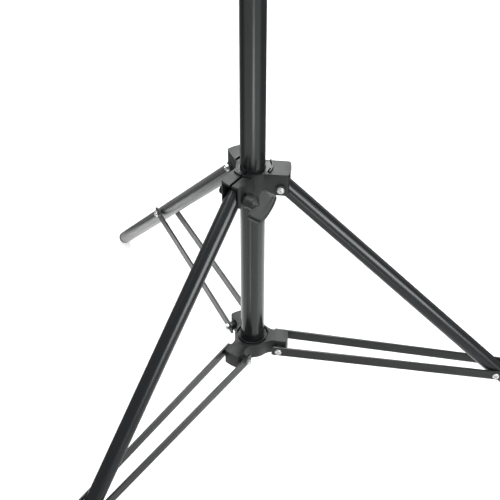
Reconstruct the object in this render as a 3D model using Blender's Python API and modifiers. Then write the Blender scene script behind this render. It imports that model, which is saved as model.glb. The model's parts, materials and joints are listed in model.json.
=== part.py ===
"""Folding tripod stand: a three-section column, a sliding collar that carries three tube legs,
a fixed lower collar, and a pair of flat strut bars from the lower collar to each leg.
Metres, +Z up. The origin is the centre of the flat underside of the column's end plug."""

import math

import bmesh
import bpy
from mathutils import Matrix, Vector

MM = 0.001

# Clearances and finish of the mesh
GAP = 0.3 * MM
BOLT_HEAD_GAP = 0.25 * MM
CUT_OVER = 5 * MM
SHARP_ANGLE = math.radians(32)
EDGE_ANGLE = math.radians(40)
BORE_SEGMENTS = 36
TUBE_SEGMENTS = 24
BOLT_SEGMENTS = 16
ROD_SEGMENTS = 12
ARC_STEP = math.radians(24)

# Column sections
COLUMN_OD = 28 * MM
MIDDLE_OD = 24 * MM
TOP_OD = 20 * MM
TUBE_WALL = 1.2 * MM
END_PLUG_FLANGE = 2 * MM
END_PLUG_STEM = 15 * MM
GUIDE_HEIGHT = 12 * MM
GUIDE_STEM = 12 * MM
GUIDE_BORE = 14 * MM
GUIDE_STANDOFF = 5 * MM
TOP_TUBE_SHOWING = 10 * MM
COLLAR_STOP_GAP = 8 * MM

# Fold geometry, all between pivot axes
HINGE_RISE = 247.2 * MM
LEG_TO_STRUT = 373.7 * MM
STRUT_LENGTH = 264.85 * MM
FOLDED_LEG_ANGLE = math.radians(2.3)

# Legs
LEG_OD = 19 * MM
LEG_WALL = 1 * MM
LEG_LENGTH = 682.7 * MM
LEG_OVER_HINGE = 5 * MM
LEG_PLUG_CAP = 1.2 * MM
LEG_PLUG_STEM = 18 * MM
FOOT_LENGTH = 17 * MM
FOOT_DOME = 7.5 * MM
FOOT_DOME_STEPS = 5
FOOT_STEM = 16 * MM
FOOT_FACET = 0.6 * MM

# Sliding collar
SLIDER_HUB_RADIUS = 20.5 * MM
SLIDER_TOP = 19.2 * MM
SLIDER_WALL_DROP = 8.9 * MM
SLIDER_SKIRT = 2.6 * MM
SLIDER_PLATE = 2.5 * MM
SLIDER_WALL = 3.1 * MM
SLIDER_REACH = 10.2 * MM
SLIDER_CORNER = 3 * MM
SLIDER_FILLET = 3 * MM
SLIDER_EDGE = 0.9 * MM
SLIDER_BOSS_RADIUS = 6 * MM
SLIDER_BOSS_HEIGHT = 2 * MM
LEG_SWING_GAP = 1.05 * MM
LEG_SIDE_GAP = 0.5 * MM
CLAMP_SLOT = 3.2 * MM
CLAMP_SLOT_OFFSET = 1.5 * MM
WINDOW_DEPTH = 3.2 * MM
WINDOW_START = math.radians(-30)
WINDOW_END = math.radians(-6)

# Liner between the sliding collar and the column
LINER_WALL = 1.3 * MM
LINER_FLANGE = 0.8 * MM
LINER_TAB_HEIGHT = 2.7 * MM
LINER_TAB_WALL = 1.3 * MM
LINER_TAB_START = math.radians(-14)
LINER_TAB_END = math.radians(35)
LINER_SLIT = 2.4 * MM

# Lower collar
LOWER_HUB_RADIUS = 21.5 * MM
LOWER_HEIGHT = 20 * MM
LOWER_HINGE_UP = 8.4 * MM
LOWER_HINGE_OUT = 11.8 * MM
LOWER_ARM_WIDTH = 18.8 * MM
LOWER_PAD_WIDTH = 20.8 * MM
LOWER_PAD_LENGTH = 14.6 * MM
LOWER_REACH = 10.3 * MM
LOWER_CORNER = 2 * MM
LOWER_FILLET = 16 * MM
LOWER_EDGE = 0.8 * MM
LOWER_POCKET_WALL = 3 * MM
LOWER_BOSS_RADIUS = 5.5 * MM
LOWER_BOSS_LENGTH = 4.05 * MM
LIP_STEP_WIDTH = 1.3 * MM
LIP_STEP_DEPTH = 1.6 * MM
LIP_WALL = 1.3 * MM
GROOVE_WIDTH = 2.5 * MM
GROOVE_DEPTH = 4 * MM

# Strut bars
BAR_HEIGHT = 12.8 * MM
BAR_THICKNESS = 2 * MM
BAR_OVERHANG = 8 * MM
BAR_CORNER = 2.5 * MM
BAR_LEG_GAP = 1.7 * MM

# Fasteners
BOLT_DIAMETER = 4 * MM
HEAD_DIAMETER = 8.3 * MM
HEAD_HEIGHT = 2 * MM
NUT_FLATS = 7 * MM
NUT_HEIGHT = 3.2 * MM
BOLT_END = 1.8 * MM
BOLT_TIP = 0.5 * MM
HEAD_CROWN = 0.6
HEAD_SIDE = 0.5
NUT_CHAMFER_DROP = 0.6 * MM
NUT_CHAMFER_IN = 1 * MM
CLAMP_BOLT_DIAMETER = 6 * MM
CLAMP_HEAD_DIAMETER = 11 * MM
CLAMP_HEAD_HEIGHT = 4 * MM
WASHER_DIAMETER = 15 * MM
WASHER_THICKNESS = 1 * MM

# Wing knobs
KNOB_FLANGE_DIAMETER = 18 * MM
KNOB_FLANGE = 1.6 * MM
KNOB_HUB_DIAMETER = 16 * MM
KNOB_NECK_DIAMETER = 11 * MM
KNOB_HUB = 12.8 * MM
WING_DEPTH = 17.4 * MM
WING_CROWN = 2.6 * MM
WING_LENGTH = 36 * MM
WING_CORNER = 3 * MM
WING_THICKNESS = 5.5 * MM
WING_ROUND = 1.6 * MM
KNOB_TIP_DIAMETER = 6 * MM
KNOB_SCREW_DEPTH = 17 * MM
CLAMP_KNOB_TURN = math.radians(31.4)
LOCK_KNOB_TURN = math.radians(90)

# Lock collars of the column sections
LOCK_HEIGHT = 50 * MM
LOCK_SOCKET = 28 * MM
LOCK_WALL = 3.4 * MM
LOCK_RIM = 1.4 * MM
LOCK_RIM_HEIGHT = 7 * MM
LOCK_SCREW_UP = 39 * MM
LOCK_BOSS_RADIUS = 8 * MM
LOCK_BOSS_REACH = 11 * MM
LOCK_AZIMUTH = math.radians(300)
SHOE_DIAMETER = 11 * MM
SHOE_THICKNESS = 3.2 * MM

# Spigot and stud at the top
SPIGOT_DIAMETER = 16 * MM
SPIGOT_LENGTH = 38 * MM
SPIGOT_FLANGE = 3 * MM
SPIGOT_STEM = 36 * MM
SPIGOT_WAIST_DIAMETER = 13 * MM
SPIGOT_WAIST_UP = 12 * MM
SPIGOT_WAIST_HEIGHT = 12 * MM
SPIGOT_CHAMFER = 1 * MM
PIN_DIAMETER = 3 * MM
PIN_DOWN = 14 * MM
STUD_DIAMETER = 6.2 * MM
STUD_SHOWING = 10 * MM
STUD_SUNK = 9 * MM
STUD_CHAMFER = 0.7 * MM

# Places worked out from the sizes above
COLUMN_RADIUS = COLUMN_OD / 2
LEG_RADIUS = LEG_OD / 2
LINER_INNER = COLUMN_RADIUS + GAP
LINER_OUTER = LINER_INNER + LINER_WALL
SLIDER_HALF_INNER = LEG_RADIUS + LEG_SIDE_GAP
SLIDER_HALF = SLIDER_HALF_INNER + SLIDER_WALL
UPPER_HINGE_RADIUS = SLIDER_HUB_RADIUS + LEG_SWING_GAP + math.hypot(LEG_RADIUS, LEG_OVER_HINGE)
LOWER_HINGE_RADIUS = LOWER_HUB_RADIUS + LOWER_HINGE_OUT
COLUMN_BASE_Z = END_PLUG_FLANGE + GAP
LOWER_HINGE_Z = COLUMN_BASE_Z + LOWER_HINGE_UP
UPPER_HINGE_Z = LOWER_HINGE_Z + HINGE_RISE
BAR_INNER_OFFSET = LOWER_PAD_WIDTH / 2 + LOWER_BOSS_LENGTH + GAP + BAR_THICKNESS / 2
BAR_OUTER_OFFSET = LEG_RADIUS + BAR_LEG_GAP + BAR_THICKNESS / 2
BAR_TOE_IN = math.asin((BAR_INNER_OFFSET - BAR_OUTER_OFFSET) / STRUT_LENGTH)
BOLT_SEAT = SLIDER_HALF + SLIDER_BOSS_HEIGHT


def spread_leg_angle():
    """Leg angle from the vertical that closes the triangle of leg, strut and column."""
    lean = math.atan2(LOWER_HINGE_RADIUS - UPPER_HINGE_RADIUS, HINGE_RISE)
    side = math.hypot(LOWER_HINGE_RADIUS - UPPER_HINGE_RADIUS, HINGE_RISE)
    cosine = (LEG_TO_STRUT**2 + side**2 - STRUT_LENGTH**2) / (2 * LEG_TO_STRUT * side)
    return lean + math.acos(cosine)


LEG_ANGLE = spread_leg_angle()
STRUT_ANGLE = math.atan2(
    HINGE_RISE - LEG_TO_STRUT * math.cos(LEG_ANGLE),
    UPPER_HINGE_RADIUS + LEG_TO_STRUT * math.sin(LEG_ANGLE) - LOWER_HINGE_RADIUS,
)


def fold_travel():
    """Rise of the sliding collar from the spread legs to the folded ones."""
    strut_out = (
        UPPER_HINGE_RADIUS + LEG_TO_STRUT * math.sin(FOLDED_LEG_ANGLE) - LOWER_HINGE_RADIUS
    )
    strut_up = math.sqrt(STRUT_LENGTH**2 - strut_out**2)
    return strut_up + LEG_TO_STRUT * math.cos(FOLDED_LEG_ANGLE) - HINGE_RISE


LOCK_LOWER_Z = (
    UPPER_HINGE_Z + fold_travel() + SLIDER_TOP + GAP + LINER_TAB_HEIGHT + COLLAR_STOP_GAP
)
COLUMN_TOP_Z = LOCK_LOWER_Z + LOCK_SOCKET - GAP
LOCK_UPPER_Z = LOCK_LOWER_Z + LOCK_HEIGHT + GAP
MIDDLE_TOP_Z = LOCK_UPPER_Z + LOCK_SOCKET - GAP
TOP_TUBE_TOP_Z = LOCK_UPPER_Z + LOCK_HEIGHT + TOP_TUBE_SHOWING
MIDDLE_BASE_Z = COLUMN_BASE_Z + END_PLUG_STEM + GUIDE_STANDOFF + GUIDE_HEIGHT + GAP
TOP_BASE_Z = MIDDLE_BASE_Z + GUIDE_STEM + GUIDE_STANDOFF + GUIDE_HEIGHT + GAP
SPIGOT_TOP = GAP + SPIGOT_FLANGE + SPIGOT_LENGTH

LEG_NAMES = ("right", "back", "front")
LEG_AZIMUTHS = tuple(math.radians(120 * k) for k in range(3))
CLAMP_LEG = 2

for old in list(bpy.data.objects):
    bpy.data.objects.remove(old, do_unlink=True)

PARTS = bpy.data.collections.new("tripod_stand")
CUTTERS = bpy.data.collections.new("cutters")
bpy.context.scene.collection.children.link(PARTS)
bpy.context.scene.collection.children.link(CUTTERS)


def material(name, colour, roughness, metallic):
    made = bpy.data.materials.new(name)
    made.use_nodes = True
    shader = made.node_tree.nodes["Principled BSDF"]
    shader.inputs["Base Color"].default_value = (*colour, 1)
    shader.inputs["Roughness"].default_value = roughness
    shader.inputs["Metallic"].default_value = metallic
    return made


COLUMN_BLACK = material("column_black", (0.025, 0.026, 0.027), 0.3, 0.3)
LEG_BLACK = material("leg_black", (0.012, 0.013, 0.016), 0.15, 0.3)
BAR_BLACK = material("bar_black", (0.03, 0.03, 0.03), 0.45, 0.3)
COLLAR_PLASTIC = material("collar_plastic", (0.028, 0.029, 0.03), 0.55, 0)
KNOB_PLASTIC = material("knob_plastic", (0.03, 0.03, 0.032), 0.5, 0)
LINER_PLASTIC = material("liner_plastic", (0.02, 0.02, 0.02), 0.5, 0)
FOOT_RUBBER = material("foot_rubber", (0.018, 0.018, 0.018), 0.45, 0)
ZINC = material("zinc", (0.75, 0.76, 0.77), 0.22, 1)
DARK_STEEL = material("dark_steel", (0.04, 0.04, 0.042), 0.4, 0.8)
SHOE_BRASS = material("shoe_brass", (0.6, 0.45, 0.18), 0.35, 1)
SPIGOT_STEEL = material("spigot_steel", (0.62, 0.62, 0.63), 0.25, 1)


def add_object(name, mesh, finish):
    """A finished piece goes with the parts, and a helper without a finish with the cutters."""
    obj = bpy.data.objects.new(name, mesh)
    if finish is None:
        CUTTERS.objects.link(obj)
        obj.hide_render = True
        obj.display_type = "WIRE"
    else:
        PARTS.objects.link(obj)
        mesh.materials.append(finish)
    return obj


def object_of(name, bm, finish):
    mesh = bpy.data.meshes.new(name)
    bm.to_mesh(mesh)
    bm.free()
    return add_object(name, mesh, finish)


def box(name, low, high, finish=None):
    low, high = Vector(low), Vector(high)
    bm = bmesh.new()
    fit = Matrix.Translation((low + high) / 2) @ Matrix.Diagonal((*(high - low), 1))
    bmesh.ops.create_cube(bm, size=1, matrix=fit)
    return object_of(name, bm, finish)


def rod(name, radius, start, end, finish=None, segments=ROD_SEGMENTS, end_radius=None):
    """A round bar, or a cone where end_radius differs, between two points."""
    start, end = Vector(start), Vector(end)
    half_facet = Matrix.Rotation(math.pi / segments, 4, "Z")
    turn = (end - start).to_track_quat("Z", "Y").to_matrix().to_4x4() @ half_facet
    bm = bmesh.new()
    bmesh.ops.create_cone(
        bm,
        cap_ends=True,
        segments=segments,
        radius1=radius,
        radius2=radius if end_radius is None else end_radius,
        depth=(end - start).length,
        matrix=Matrix.Translation((start + end) / 2) @ turn,
    )
    return object_of(name, bm, finish)


def turned(name, profile, finish=None, segments=TUBE_SEGMENTS):
    """A solid turned about Z from (radius, height) points that run down its outer side.
    A profile that starts on the axis ends there, and any other closes on itself."""
    bm = bmesh.new()
    points = [bm.verts.new((radius, 0, height)) for radius, height in profile]
    for first, second in zip(points, points[1:]):
        bm.edges.new((first, second))
    if profile[0][0] > 0:
        bm.edges.new((points[-1], points[0]))
    obj = object_of(name, bm, finish)
    screw = obj.modifiers.new("turn", "SCREW")
    screw.steps = screw.render_steps = segments
    screw.use_merge_vertices = True
    screw.merge_threshold = 0.01 * MM
    return obj


def ring_profile(inner, outer, low, high):
    """Section of a tube or a washer."""
    return [(outer, high), (outer, low), (inner, low), (inner, high)]


def extruded(name, outline, low, high, finish=None):
    """A flat outline in XY, drawn counter-clockwise, as a solid from one height to another."""
    curve = bpy.data.curves.new(name, "CURVE")
    curve.dimensions = "2D"
    curve.fill_mode = "BOTH"
    curve.extrude = (high - low) / 2
    spline = curve.splines.new("POLY")
    spline.points.add(len(outline) - 1)
    for point, (x, y) in zip(spline.points, outline):
        point.co = (x, y, 0, 1)
    spline.use_cyclic_u = True
    drawn = bpy.data.objects.new(name + "_outline", curve)
    CUTTERS.objects.link(drawn)
    graph = bpy.context.evaluated_depsgraph_get()
    mesh = bpy.data.meshes.new_from_object(drawn.evaluated_get(graph))
    bpy.data.objects.remove(drawn)
    bm = bmesh.new()
    bm.from_mesh(mesh)
    bpy.data.meshes.remove(mesh)
    bmesh.ops.remove_doubles(bm, verts=bm.verts, dist=0.001 * MM)
    bmesh.ops.translate(bm, verts=bm.verts, vec=(0, 0, (high + low) / 2))
    return object_of(name, bm, finish)


def arc(centre, radius, start, end):
    """Points along an arc, both ends included, in steps of ARC_STEP or less."""
    steps = max(1, math.ceil(abs(end - start) / ARC_STEP))
    angles = [start + (end - start) * k / steps for k in range(steps + 1)]
    return [(centre[0] + radius * math.cos(a), centre[1] + radius * math.sin(a)) for a in angles]


def soften(part, width, segments=1):
    bevel = part.modifiers.new("edges", "BEVEL")
    bevel.width = width
    bevel.segments = segments
    bevel.limit_method = "ANGLE"
    bevel.angle_limit = EDGE_ANGLE


def combine(part, operation, *others):
    for other in others:
        join = part.modifiers.new(operation.lower(), "BOOLEAN")
        join.operation = operation
        join.solver = "EXACT"
        join.object = other


def add(part, *others):
    combine(part, "UNION", *others)


def cut(part, *others):
    combine(part, "DIFFERENCE", *others)


def settle(part):
    """Applies the modifiers of a piece and shades its round faces smooth."""
    graph = bpy.context.evaluated_depsgraph_get()
    mesh = bpy.data.meshes.new_from_object(part.evaluated_get(graph))
    part.modifiers.clear()
    part.data = mesh
    mesh.shade_smooth()
    mesh.set_sharp_from_angle(angle=SHARP_ANGLE)
    return part


def copy_of(part, name):
    made = bpy.data.objects.new(name, part.data)
    PARTS.objects.link(made)
    return made


def place(part, parent=None, location=(0, 0, 0), rotation=(0, 0, 0)):
    part.parent = parent
    part.location = location
    part.rotation_euler = rotation
    return part


def pivot(name, location, rotation=(0, 0, 0), parent=None):
    empty = bpy.data.objects.new(name, None)
    empty.empty_display_size = 20 * MM
    PARTS.objects.link(empty)
    return place(empty, parent, location, rotation)


def polar(radius, azimuth, height=0.0):
    return Vector((radius * math.cos(azimuth), radius * math.sin(azimuth), height))


def beside(radius, sideways, azimuth, height=0.0):
    """The point this far out along an azimuth and this far to its left."""
    across = azimuth + math.pi / 2
    return polar(radius, azimuth, height) + polar(sideways, across)


def cross_rod(name, radius, out, azimuth, side_from, side_to, height=0.0, segments=ROD_SEGMENTS):
    """A helper rod across an arm, from one sideways offset to another."""
    start = beside(out, side_from, azimuth, height)
    end = beside(out, side_to, azimuth, height)
    return rod(name, radius, start, end, segments=segments)


def turned_box(name, azimuth, out, side, height):
    """A helper box along an azimuth from ranges outwards, sideways and upwards."""
    made = box(name, (out[0], side[0], height[0]), (out[1], side[1], height[1]))
    made.rotation_euler.z = azimuth
    return made


def arm_side(hub, half, reach, corner, fillet, pad_half, pad_length):
    """One side of an arm along +X, from the hub's circle to the middle of the arm's round end."""
    centre_out = math.sqrt((hub + fillet) ** 2 - (half + fillet) ** 2)
    turn = math.atan2(half + fillet, centre_out)
    points = arc((centre_out, -half - fillet), fillet, math.pi - turn, math.pi / 2)
    if pad_length:
        start = reach - pad_length
        step = pad_half - half
        points += [(start, -half), (start + step, -pad_half)]
    corner_out = math.sqrt((reach - corner) ** 2 - (pad_half - corner) ** 2)
    corner_turn = math.atan2(corner - pad_half, corner_out)
    points += arc((corner_out, corner - pad_half), corner, -math.pi / 2, corner_turn)
    return points + arc((0, 0), reach, corner_turn, 0)[1:]


def three_arm_outline(hub, half, reach, corner, fillet, pad_half=None, pad_length=0.0):
    """A round hub with three arms, filleted into it, with wider pads at their ends if given."""
    side = arm_side(hub, half, reach, corner, fillet, pad_half or half, pad_length)
    arm = side + [(x, -y) for x, y in reversed(side[:-1])]
    outline = []
    for azimuth in LEG_AZIMUTHS:
        cosine, sine = math.cos(azimuth), math.sin(azimuth)
        outline += [(x * cosine - y * sine, x * sine + y * cosine) for x, y in arm]
        first = math.atan2(arm[-1][1], arm[-1][0]) + azimuth
        last = azimuth + math.radians(120) - (first - azimuth)
        outline += arc((0, 0), hub, first, last)[1:-1]
    return outline


def sector_cutter(name, inner, outer, start, end, low, high):
    """A helper in the shape of a piece of a ring."""
    outline = arc((0, 0), outer, start, end) + arc((0, 0), inner, end, start)
    return extruded(name, outline, low, high)


def bolt_radius(leg):
    return (CLAMP_BOLT_DIAMETER if leg == CLAMP_LEG else BOLT_DIAMETER) / 2


def make_column():
    column = turned(
        "column_tube",
        ring_profile(COLUMN_RADIUS - TUBE_WALL, COLUMN_RADIUS, COLUMN_BASE_Z, COLUMN_TOP_Z),
        COLUMN_BLACK,
        segments=BORE_SEGMENTS,
    )
    azimuth = LEG_AZIMUTHS[1] / 2
    hole = rod(
        "column_screw_hole",
        BOLT_DIAMETER / 2 + GAP,
        polar(CUT_OVER, azimuth, LOWER_HINGE_Z),
        polar(COLUMN_OD, azimuth, LOWER_HINGE_Z),
    )
    cut(column, hole)
    settle(column)
    stem = COLUMN_RADIUS - TUBE_WALL - GAP
    plug_top = COLUMN_BASE_Z + END_PLUG_STEM
    plug = turned(
        "column_end_plug",
        [
            (stem - TUBE_WALL, plug_top),
            (stem, plug_top - TUBE_WALL),
            (stem, END_PLUG_FLANGE),
            (COLUMN_RADIUS, END_PLUG_FLANGE),
            (COLUMN_RADIUS, 0),
            (0, 0),
            (0, END_PLUG_FLANGE),
            (stem - 2 * TUBE_WALL, END_PLUG_FLANGE),
            (stem - 2 * TUBE_WALL, plug_top),
        ],
        LINER_PLASTIC,
    )
    return column, plug


def make_lower_collar():
    half_pad = LOWER_PAD_WIDTH / 2
    reach = LOWER_HINGE_RADIUS + LOWER_REACH
    low, high = -LOWER_HINGE_UP, LOWER_HEIGHT - LOWER_HINGE_UP
    outline = three_arm_outline(
        LOWER_HUB_RADIUS,
        LOWER_ARM_WIDTH / 2,
        reach,
        LOWER_CORNER,
        LOWER_FILLET,
        half_pad,
        LOWER_PAD_LENGTH,
    )
    collar = extruded("lower_collar", outline, low, high, COLLAR_PLASTIC)
    soften(collar, LOWER_EDGE)
    hole = BOLT_DIAMETER / 2 + GAP
    boss_end = half_pad + LOWER_BOSS_LENGTH
    pocket_half = half_pad - LOWER_POCKET_WALL
    pocket_out = (LOWER_HUB_RADIUS + LOWER_POCKET_WALL, reach - LOWER_POCKET_WALL)
    for name, azimuth in zip(LEG_NAMES, LEG_AZIMUTHS):
        boss = cross_rod(
            f"lower_boss_{name}",
            LOWER_BOSS_RADIUS,
            LOWER_HINGE_RADIUS,
            azimuth,
            -boss_end,
            boss_end,
            segments=BOLT_SEGMENTS,
        )
        add(collar, boss)
    for name, azimuth in zip(LEG_NAMES, LEG_AZIMUTHS):
        pocket = turned_box(
            f"lower_pocket_{name}",
            azimuth,
            pocket_out,
            (-pocket_half, pocket_half),
            (low - CUT_OVER, high - LOWER_POCKET_WALL),
        )
        bolt_hole = cross_rod(
            f"lower_hole_{name}", hole, LOWER_HINGE_RADIUS, azimuth, -2 * boss_end, 2 * boss_end
        )
        cut(collar, pocket, bolt_hole)
    bore = COLUMN_RADIUS + GAP
    step = bore + LIP_STEP_WIDTH
    lip = step + LIP_WALL
    cut(
        collar,
        rod("lower_bore", bore, (0, 0, low - CUT_OVER), (0, 0, high + CUT_OVER), segments=BORE_SEGMENTS),
        rod(
            "lower_step",
            step,
            (0, 0, high - LIP_STEP_DEPTH),
            (0, 0, high + CUT_OVER),
            segments=BORE_SEGMENTS,
        ),
        turned(
            "lower_groove",
            ring_profile(lip, lip + GROOVE_WIDTH, high - GROOVE_DEPTH, high + CUT_OVER),
            segments=BORE_SEGMENTS,
        ),
        rod("lower_screw_hole", hole, (0, 0, 0), polar(2 * LOWER_HUB_RADIUS, LEG_AZIMUTHS[1] / 2)),
    )
    settle(collar)
    return place(collar, location=(0, 0, LOWER_HINGE_Z))


def head_profile(radius, height, foot):
    """Section of a pan head whose flat underside is at this height."""
    return [
        (0, foot + height),
        (radius * HEAD_CROWN, foot + height),
        (radius, foot + height * HEAD_SIDE),
        (radius, foot),
    ]


def bolt(name, length, finish=ZINC, diameter=BOLT_DIAMETER, head=HEAD_DIAMETER, height=HEAD_HEIGHT):
    """A pan-head bolt along Z: its head stands up from 0, and its shank reaches down."""
    radius = diameter / 2
    profile = head_profile(head / 2, height, 0)
    profile += [
        (radius, 0),
        (radius, BOLT_TIP - length),
        (radius - BOLT_TIP, -length),
        (0, -length),
    ]
    return settle(turned(name, profile, finish, segments=BOLT_SEGMENTS))


def hexagon(name):
    """A hexagon nut along Z without its hole, from 0 upwards, its outer corners turned off."""
    corner = NUT_FLATS / math.cos(math.radians(30)) / 2
    shoulder = NUT_HEIGHT - NUT_CHAMFER_DROP
    face = corner - NUT_CHAMFER_IN
    made = rod(name, corner, (0, 0, 0), (0, 0, NUT_HEIGHT), ZINC, segments=6)
    corner_cut = turned(
        name + "_corners",
        [
            (corner + CUT_OVER, NUT_HEIGHT + CUT_OVER),
            (corner + CUT_OVER, shoulder),
            (corner, shoulder),
            (face, NUT_HEIGHT),
            (face, NUT_HEIGHT + CUT_OVER),
        ],
        segments=BOLT_SEGMENTS,
    )
    cut(made, corner_cut)
    return made


def nut(name):
    """A hexagon nut along Z with a clear hole for the bolt."""
    made = hexagon(name)
    hole = BOLT_DIAMETER / 2 + GAP
    cut(made, rod(name + "_hole", hole, (0, 0, -CUT_OVER), (0, 0, NUT_HEIGHT + CUT_OVER)))
    return settle(made)


def across_rotation(azimuth, facing):
    """Turns a piece made along Z to lie across an arm: facing 1 points to the arm's left."""
    return (math.radians(-90) * facing, 0, azimuth)


def lay_across(part, parent, out, azimuth, side, facing, height=0.0):
    return place(
        part, parent, beside(out, side, azimuth, height), across_rotation(azimuth, facing)
    )


def make_strut_bolts():
    """One bolt and nut through both bars and the lug of each arm of the lower collar."""
    seat = BAR_INNER_OFFSET + BAR_THICKNESS / 2 + BOLT_HEAD_GAP
    length = 2 * seat + NUT_HEIGHT + BOLT_END
    first_bolt = bolt("strut_bolt_" + LEG_NAMES[0], length)
    first_nut = nut("strut_nut_" + LEG_NAMES[0])
    for leg, azimuth in enumerate(LEG_AZIMUTHS):
        name = LEG_NAMES[leg]
        screw = first_bolt if leg == 0 else copy_of(first_bolt, "strut_bolt_" + name)
        fixing = first_nut if leg == 0 else copy_of(first_nut, "strut_nut_" + name)
        lay_across(screw, None, LOWER_HINGE_RADIUS, azimuth, -seat, -1, LOWER_HINGE_Z)
        lay_across(fixing, None, LOWER_HINGE_RADIUS, azimuth, seat, 1, LOWER_HINGE_Z)


def make_collar_screw():
    """The screw that holds the lower collar to the column, between two arms."""
    azimuth = LEG_AZIMUTHS[1] / 2
    seat = LOWER_HUB_RADIUS + BOLT_HEAD_GAP
    screw = bolt("lower_collar_screw", seat - (COLUMN_RADIUS - TUBE_WALL))
    place(screw, None, polar(seat, azimuth, LOWER_HINGE_Z), (0, math.radians(90), azimuth))


def make_sliding_collar(parent):
    reach = UPPER_HINGE_RADIUS + SLIDER_REACH
    outline = three_arm_outline(
        SLIDER_HUB_RADIUS, SLIDER_HALF, reach, SLIDER_CORNER, SLIDER_FILLET
    )
    low = -SLIDER_WALL_DROP
    collar = extruded("sliding_collar", outline, low, SLIDER_TOP, COLLAR_PLASTIC)
    soften(collar, SLIDER_EDGE)
    bore = LINER_OUTER + GAP
    skirt = turned(
        "slider_skirt",
        ring_profile(bore - GAP, SLIDER_HUB_RADIUS, low - SLIDER_SKIRT, 0),
    )
    add(collar, skirt)
    for name, azimuth in zip(LEG_NAMES, LEG_AZIMUTHS):
        boss = cross_rod(
            f"slider_boss_{name}",
            SLIDER_BOSS_RADIUS,
            UPPER_HINGE_RADIUS,
            azimuth,
            -BOLT_SEAT,
            BOLT_SEAT,
            segments=BOLT_SEGMENTS,
        )
        add(collar, boss)
    for leg, azimuth in enumerate(LEG_AZIMUTHS):
        channel = turned_box(
            f"slider_channel_{LEG_NAMES[leg]}",
            azimuth,
            (SLIDER_HUB_RADIUS, 2 * reach),
            (-SLIDER_HALF_INNER, SLIDER_HALF_INNER),
            (2 * low, SLIDER_TOP - SLIDER_PLATE),
        )
        window = sector_cutter(
            f"slider_window_{LEG_NAMES[leg]}",
            SLIDER_HUB_RADIUS,
            SLIDER_HUB_RADIUS + WINDOW_DEPTH,
            azimuth + WINDOW_START,
            azimuth + WINDOW_END,
            SLIDER_TOP - 2 * SLIDER_PLATE,
            SLIDER_TOP + CUT_OVER,
        )
        hole = cross_rod(
            f"slider_hole_{LEG_NAMES[leg]}",
            bolt_radius(leg) + GAP,
            UPPER_HINGE_RADIUS,
            azimuth,
            -2 * BOLT_SEAT,
            2 * BOLT_SEAT,
        )
        cut(collar, channel, window, hole)
    slot = turned_box(
        "clamp_slot",
        LEG_AZIMUTHS[CLAMP_LEG],
        (0, 2 * reach),
        (CLAMP_SLOT_OFFSET - CLAMP_SLOT / 2, CLAMP_SLOT_OFFSET + CLAMP_SLOT / 2),
        (2 * low, SLIDER_TOP + CUT_OVER),
    )
    through = (low - SLIDER_SKIRT - CUT_OVER, SLIDER_TOP + CUT_OVER)
    cut(
        collar,
        rod("slider_bore", bore, (0, 0, through[0]), (0, 0, through[1]), segments=BORE_SEGMENTS),
        slot,
    )
    return place(settle(collar), parent)


def make_liner(parent):
    """The split sleeve that the sliding collar grips the column with, and its three raised tabs."""
    low = -SLIDER_WALL_DROP - SLIDER_SKIRT
    rest = SLIDER_TOP + GAP
    tab_outer = SLIDER_HUB_RADIUS - GAP
    tab_inner = tab_outer - LINER_TAB_WALL
    liner = turned(
        "collar_liner",
        [
            (tab_outer, rest + LINER_TAB_HEIGHT),
            (tab_outer, rest),
            (LINER_OUTER, rest),
            (LINER_OUTER, low),
            (LINER_INNER, low),
            (LINER_INNER, rest + LINER_FLANGE),
            (tab_inner, rest + LINER_FLANGE),
            (tab_inner, rest + LINER_TAB_HEIGHT),
        ],
        LINER_PLASTIC,
        segments=BORE_SEGMENTS,
    )
    for leg, azimuth in enumerate(LEG_AZIMUTHS):
        between = sector_cutter(
            f"liner_space_{LEG_NAMES[leg]}",
            LINER_INNER - CUT_OVER,
            SLIDER_HUB_RADIUS + CUT_OVER,
            azimuth + LINER_TAB_END,
            azimuth + math.radians(120) + LINER_TAB_START,
            rest - GAP,
            rest + LINER_TAB_HEIGHT + CUT_OVER,
        )
        cut(liner, between)
    slit = turned_box(
        "liner_slit",
        LEG_AZIMUTHS[CLAMP_LEG],
        (0, COLUMN_OD),
        (CLAMP_SLOT_OFFSET - LINER_SLIT / 2, CLAMP_SLOT_OFFSET + LINER_SLIT / 2),
        (low - CUT_OVER, rest + LINER_TAB_HEIGHT + CUT_OVER),
    )
    cut(liner, slit)
    return place(settle(liner), parent)


def make_leg_bolts(parent):
    """The hinge bolts of the two legs without the clamp."""
    seat = BOLT_SEAT + BOLT_HEAD_GAP
    length = 2 * seat + NUT_HEIGHT + BOLT_END
    first_bolt = bolt("leg_bolt_" + LEG_NAMES[0], length)
    first_nut = nut("leg_nut_" + LEG_NAMES[0])
    for leg in range(CLAMP_LEG):
        name = LEG_NAMES[leg]
        azimuth = LEG_AZIMUTHS[leg]
        screw = first_bolt if leg == 0 else copy_of(first_bolt, "leg_bolt_" + name)
        fixing = first_nut if leg == 0 else copy_of(first_nut, "leg_nut_" + name)
        lay_across(screw, parent, UPPER_HINGE_RADIUS, azimuth, -seat, -1)
        lay_across(fixing, parent, UPPER_HINGE_RADIUS, azimuth, seat, 1)


def wing_outline():
    """The wing from its broad side, X along it and Y away from the flange, with a crowned end."""
    half = WING_LENGTH / 2
    foot = KNOB_HUB - KNOB_FLANGE
    radius = (half**2 + WING_CROWN**2) / (2 * WING_CROWN)
    centre = KNOB_HUB + WING_DEPTH - radius
    across = half - WING_CORNER
    rise = math.sqrt((radius - WING_CORNER) ** 2 - across**2)
    start = math.atan2(rise, across)
    corner = arc((across, centre + rise), WING_CORNER, 0, start)
    crown = arc((0, centre), radius, start, math.pi - start)[1:-1]
    side = [(half, foot)] + corner
    return side + crown + [(-x, y) for x, y in reversed(side)]


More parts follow.
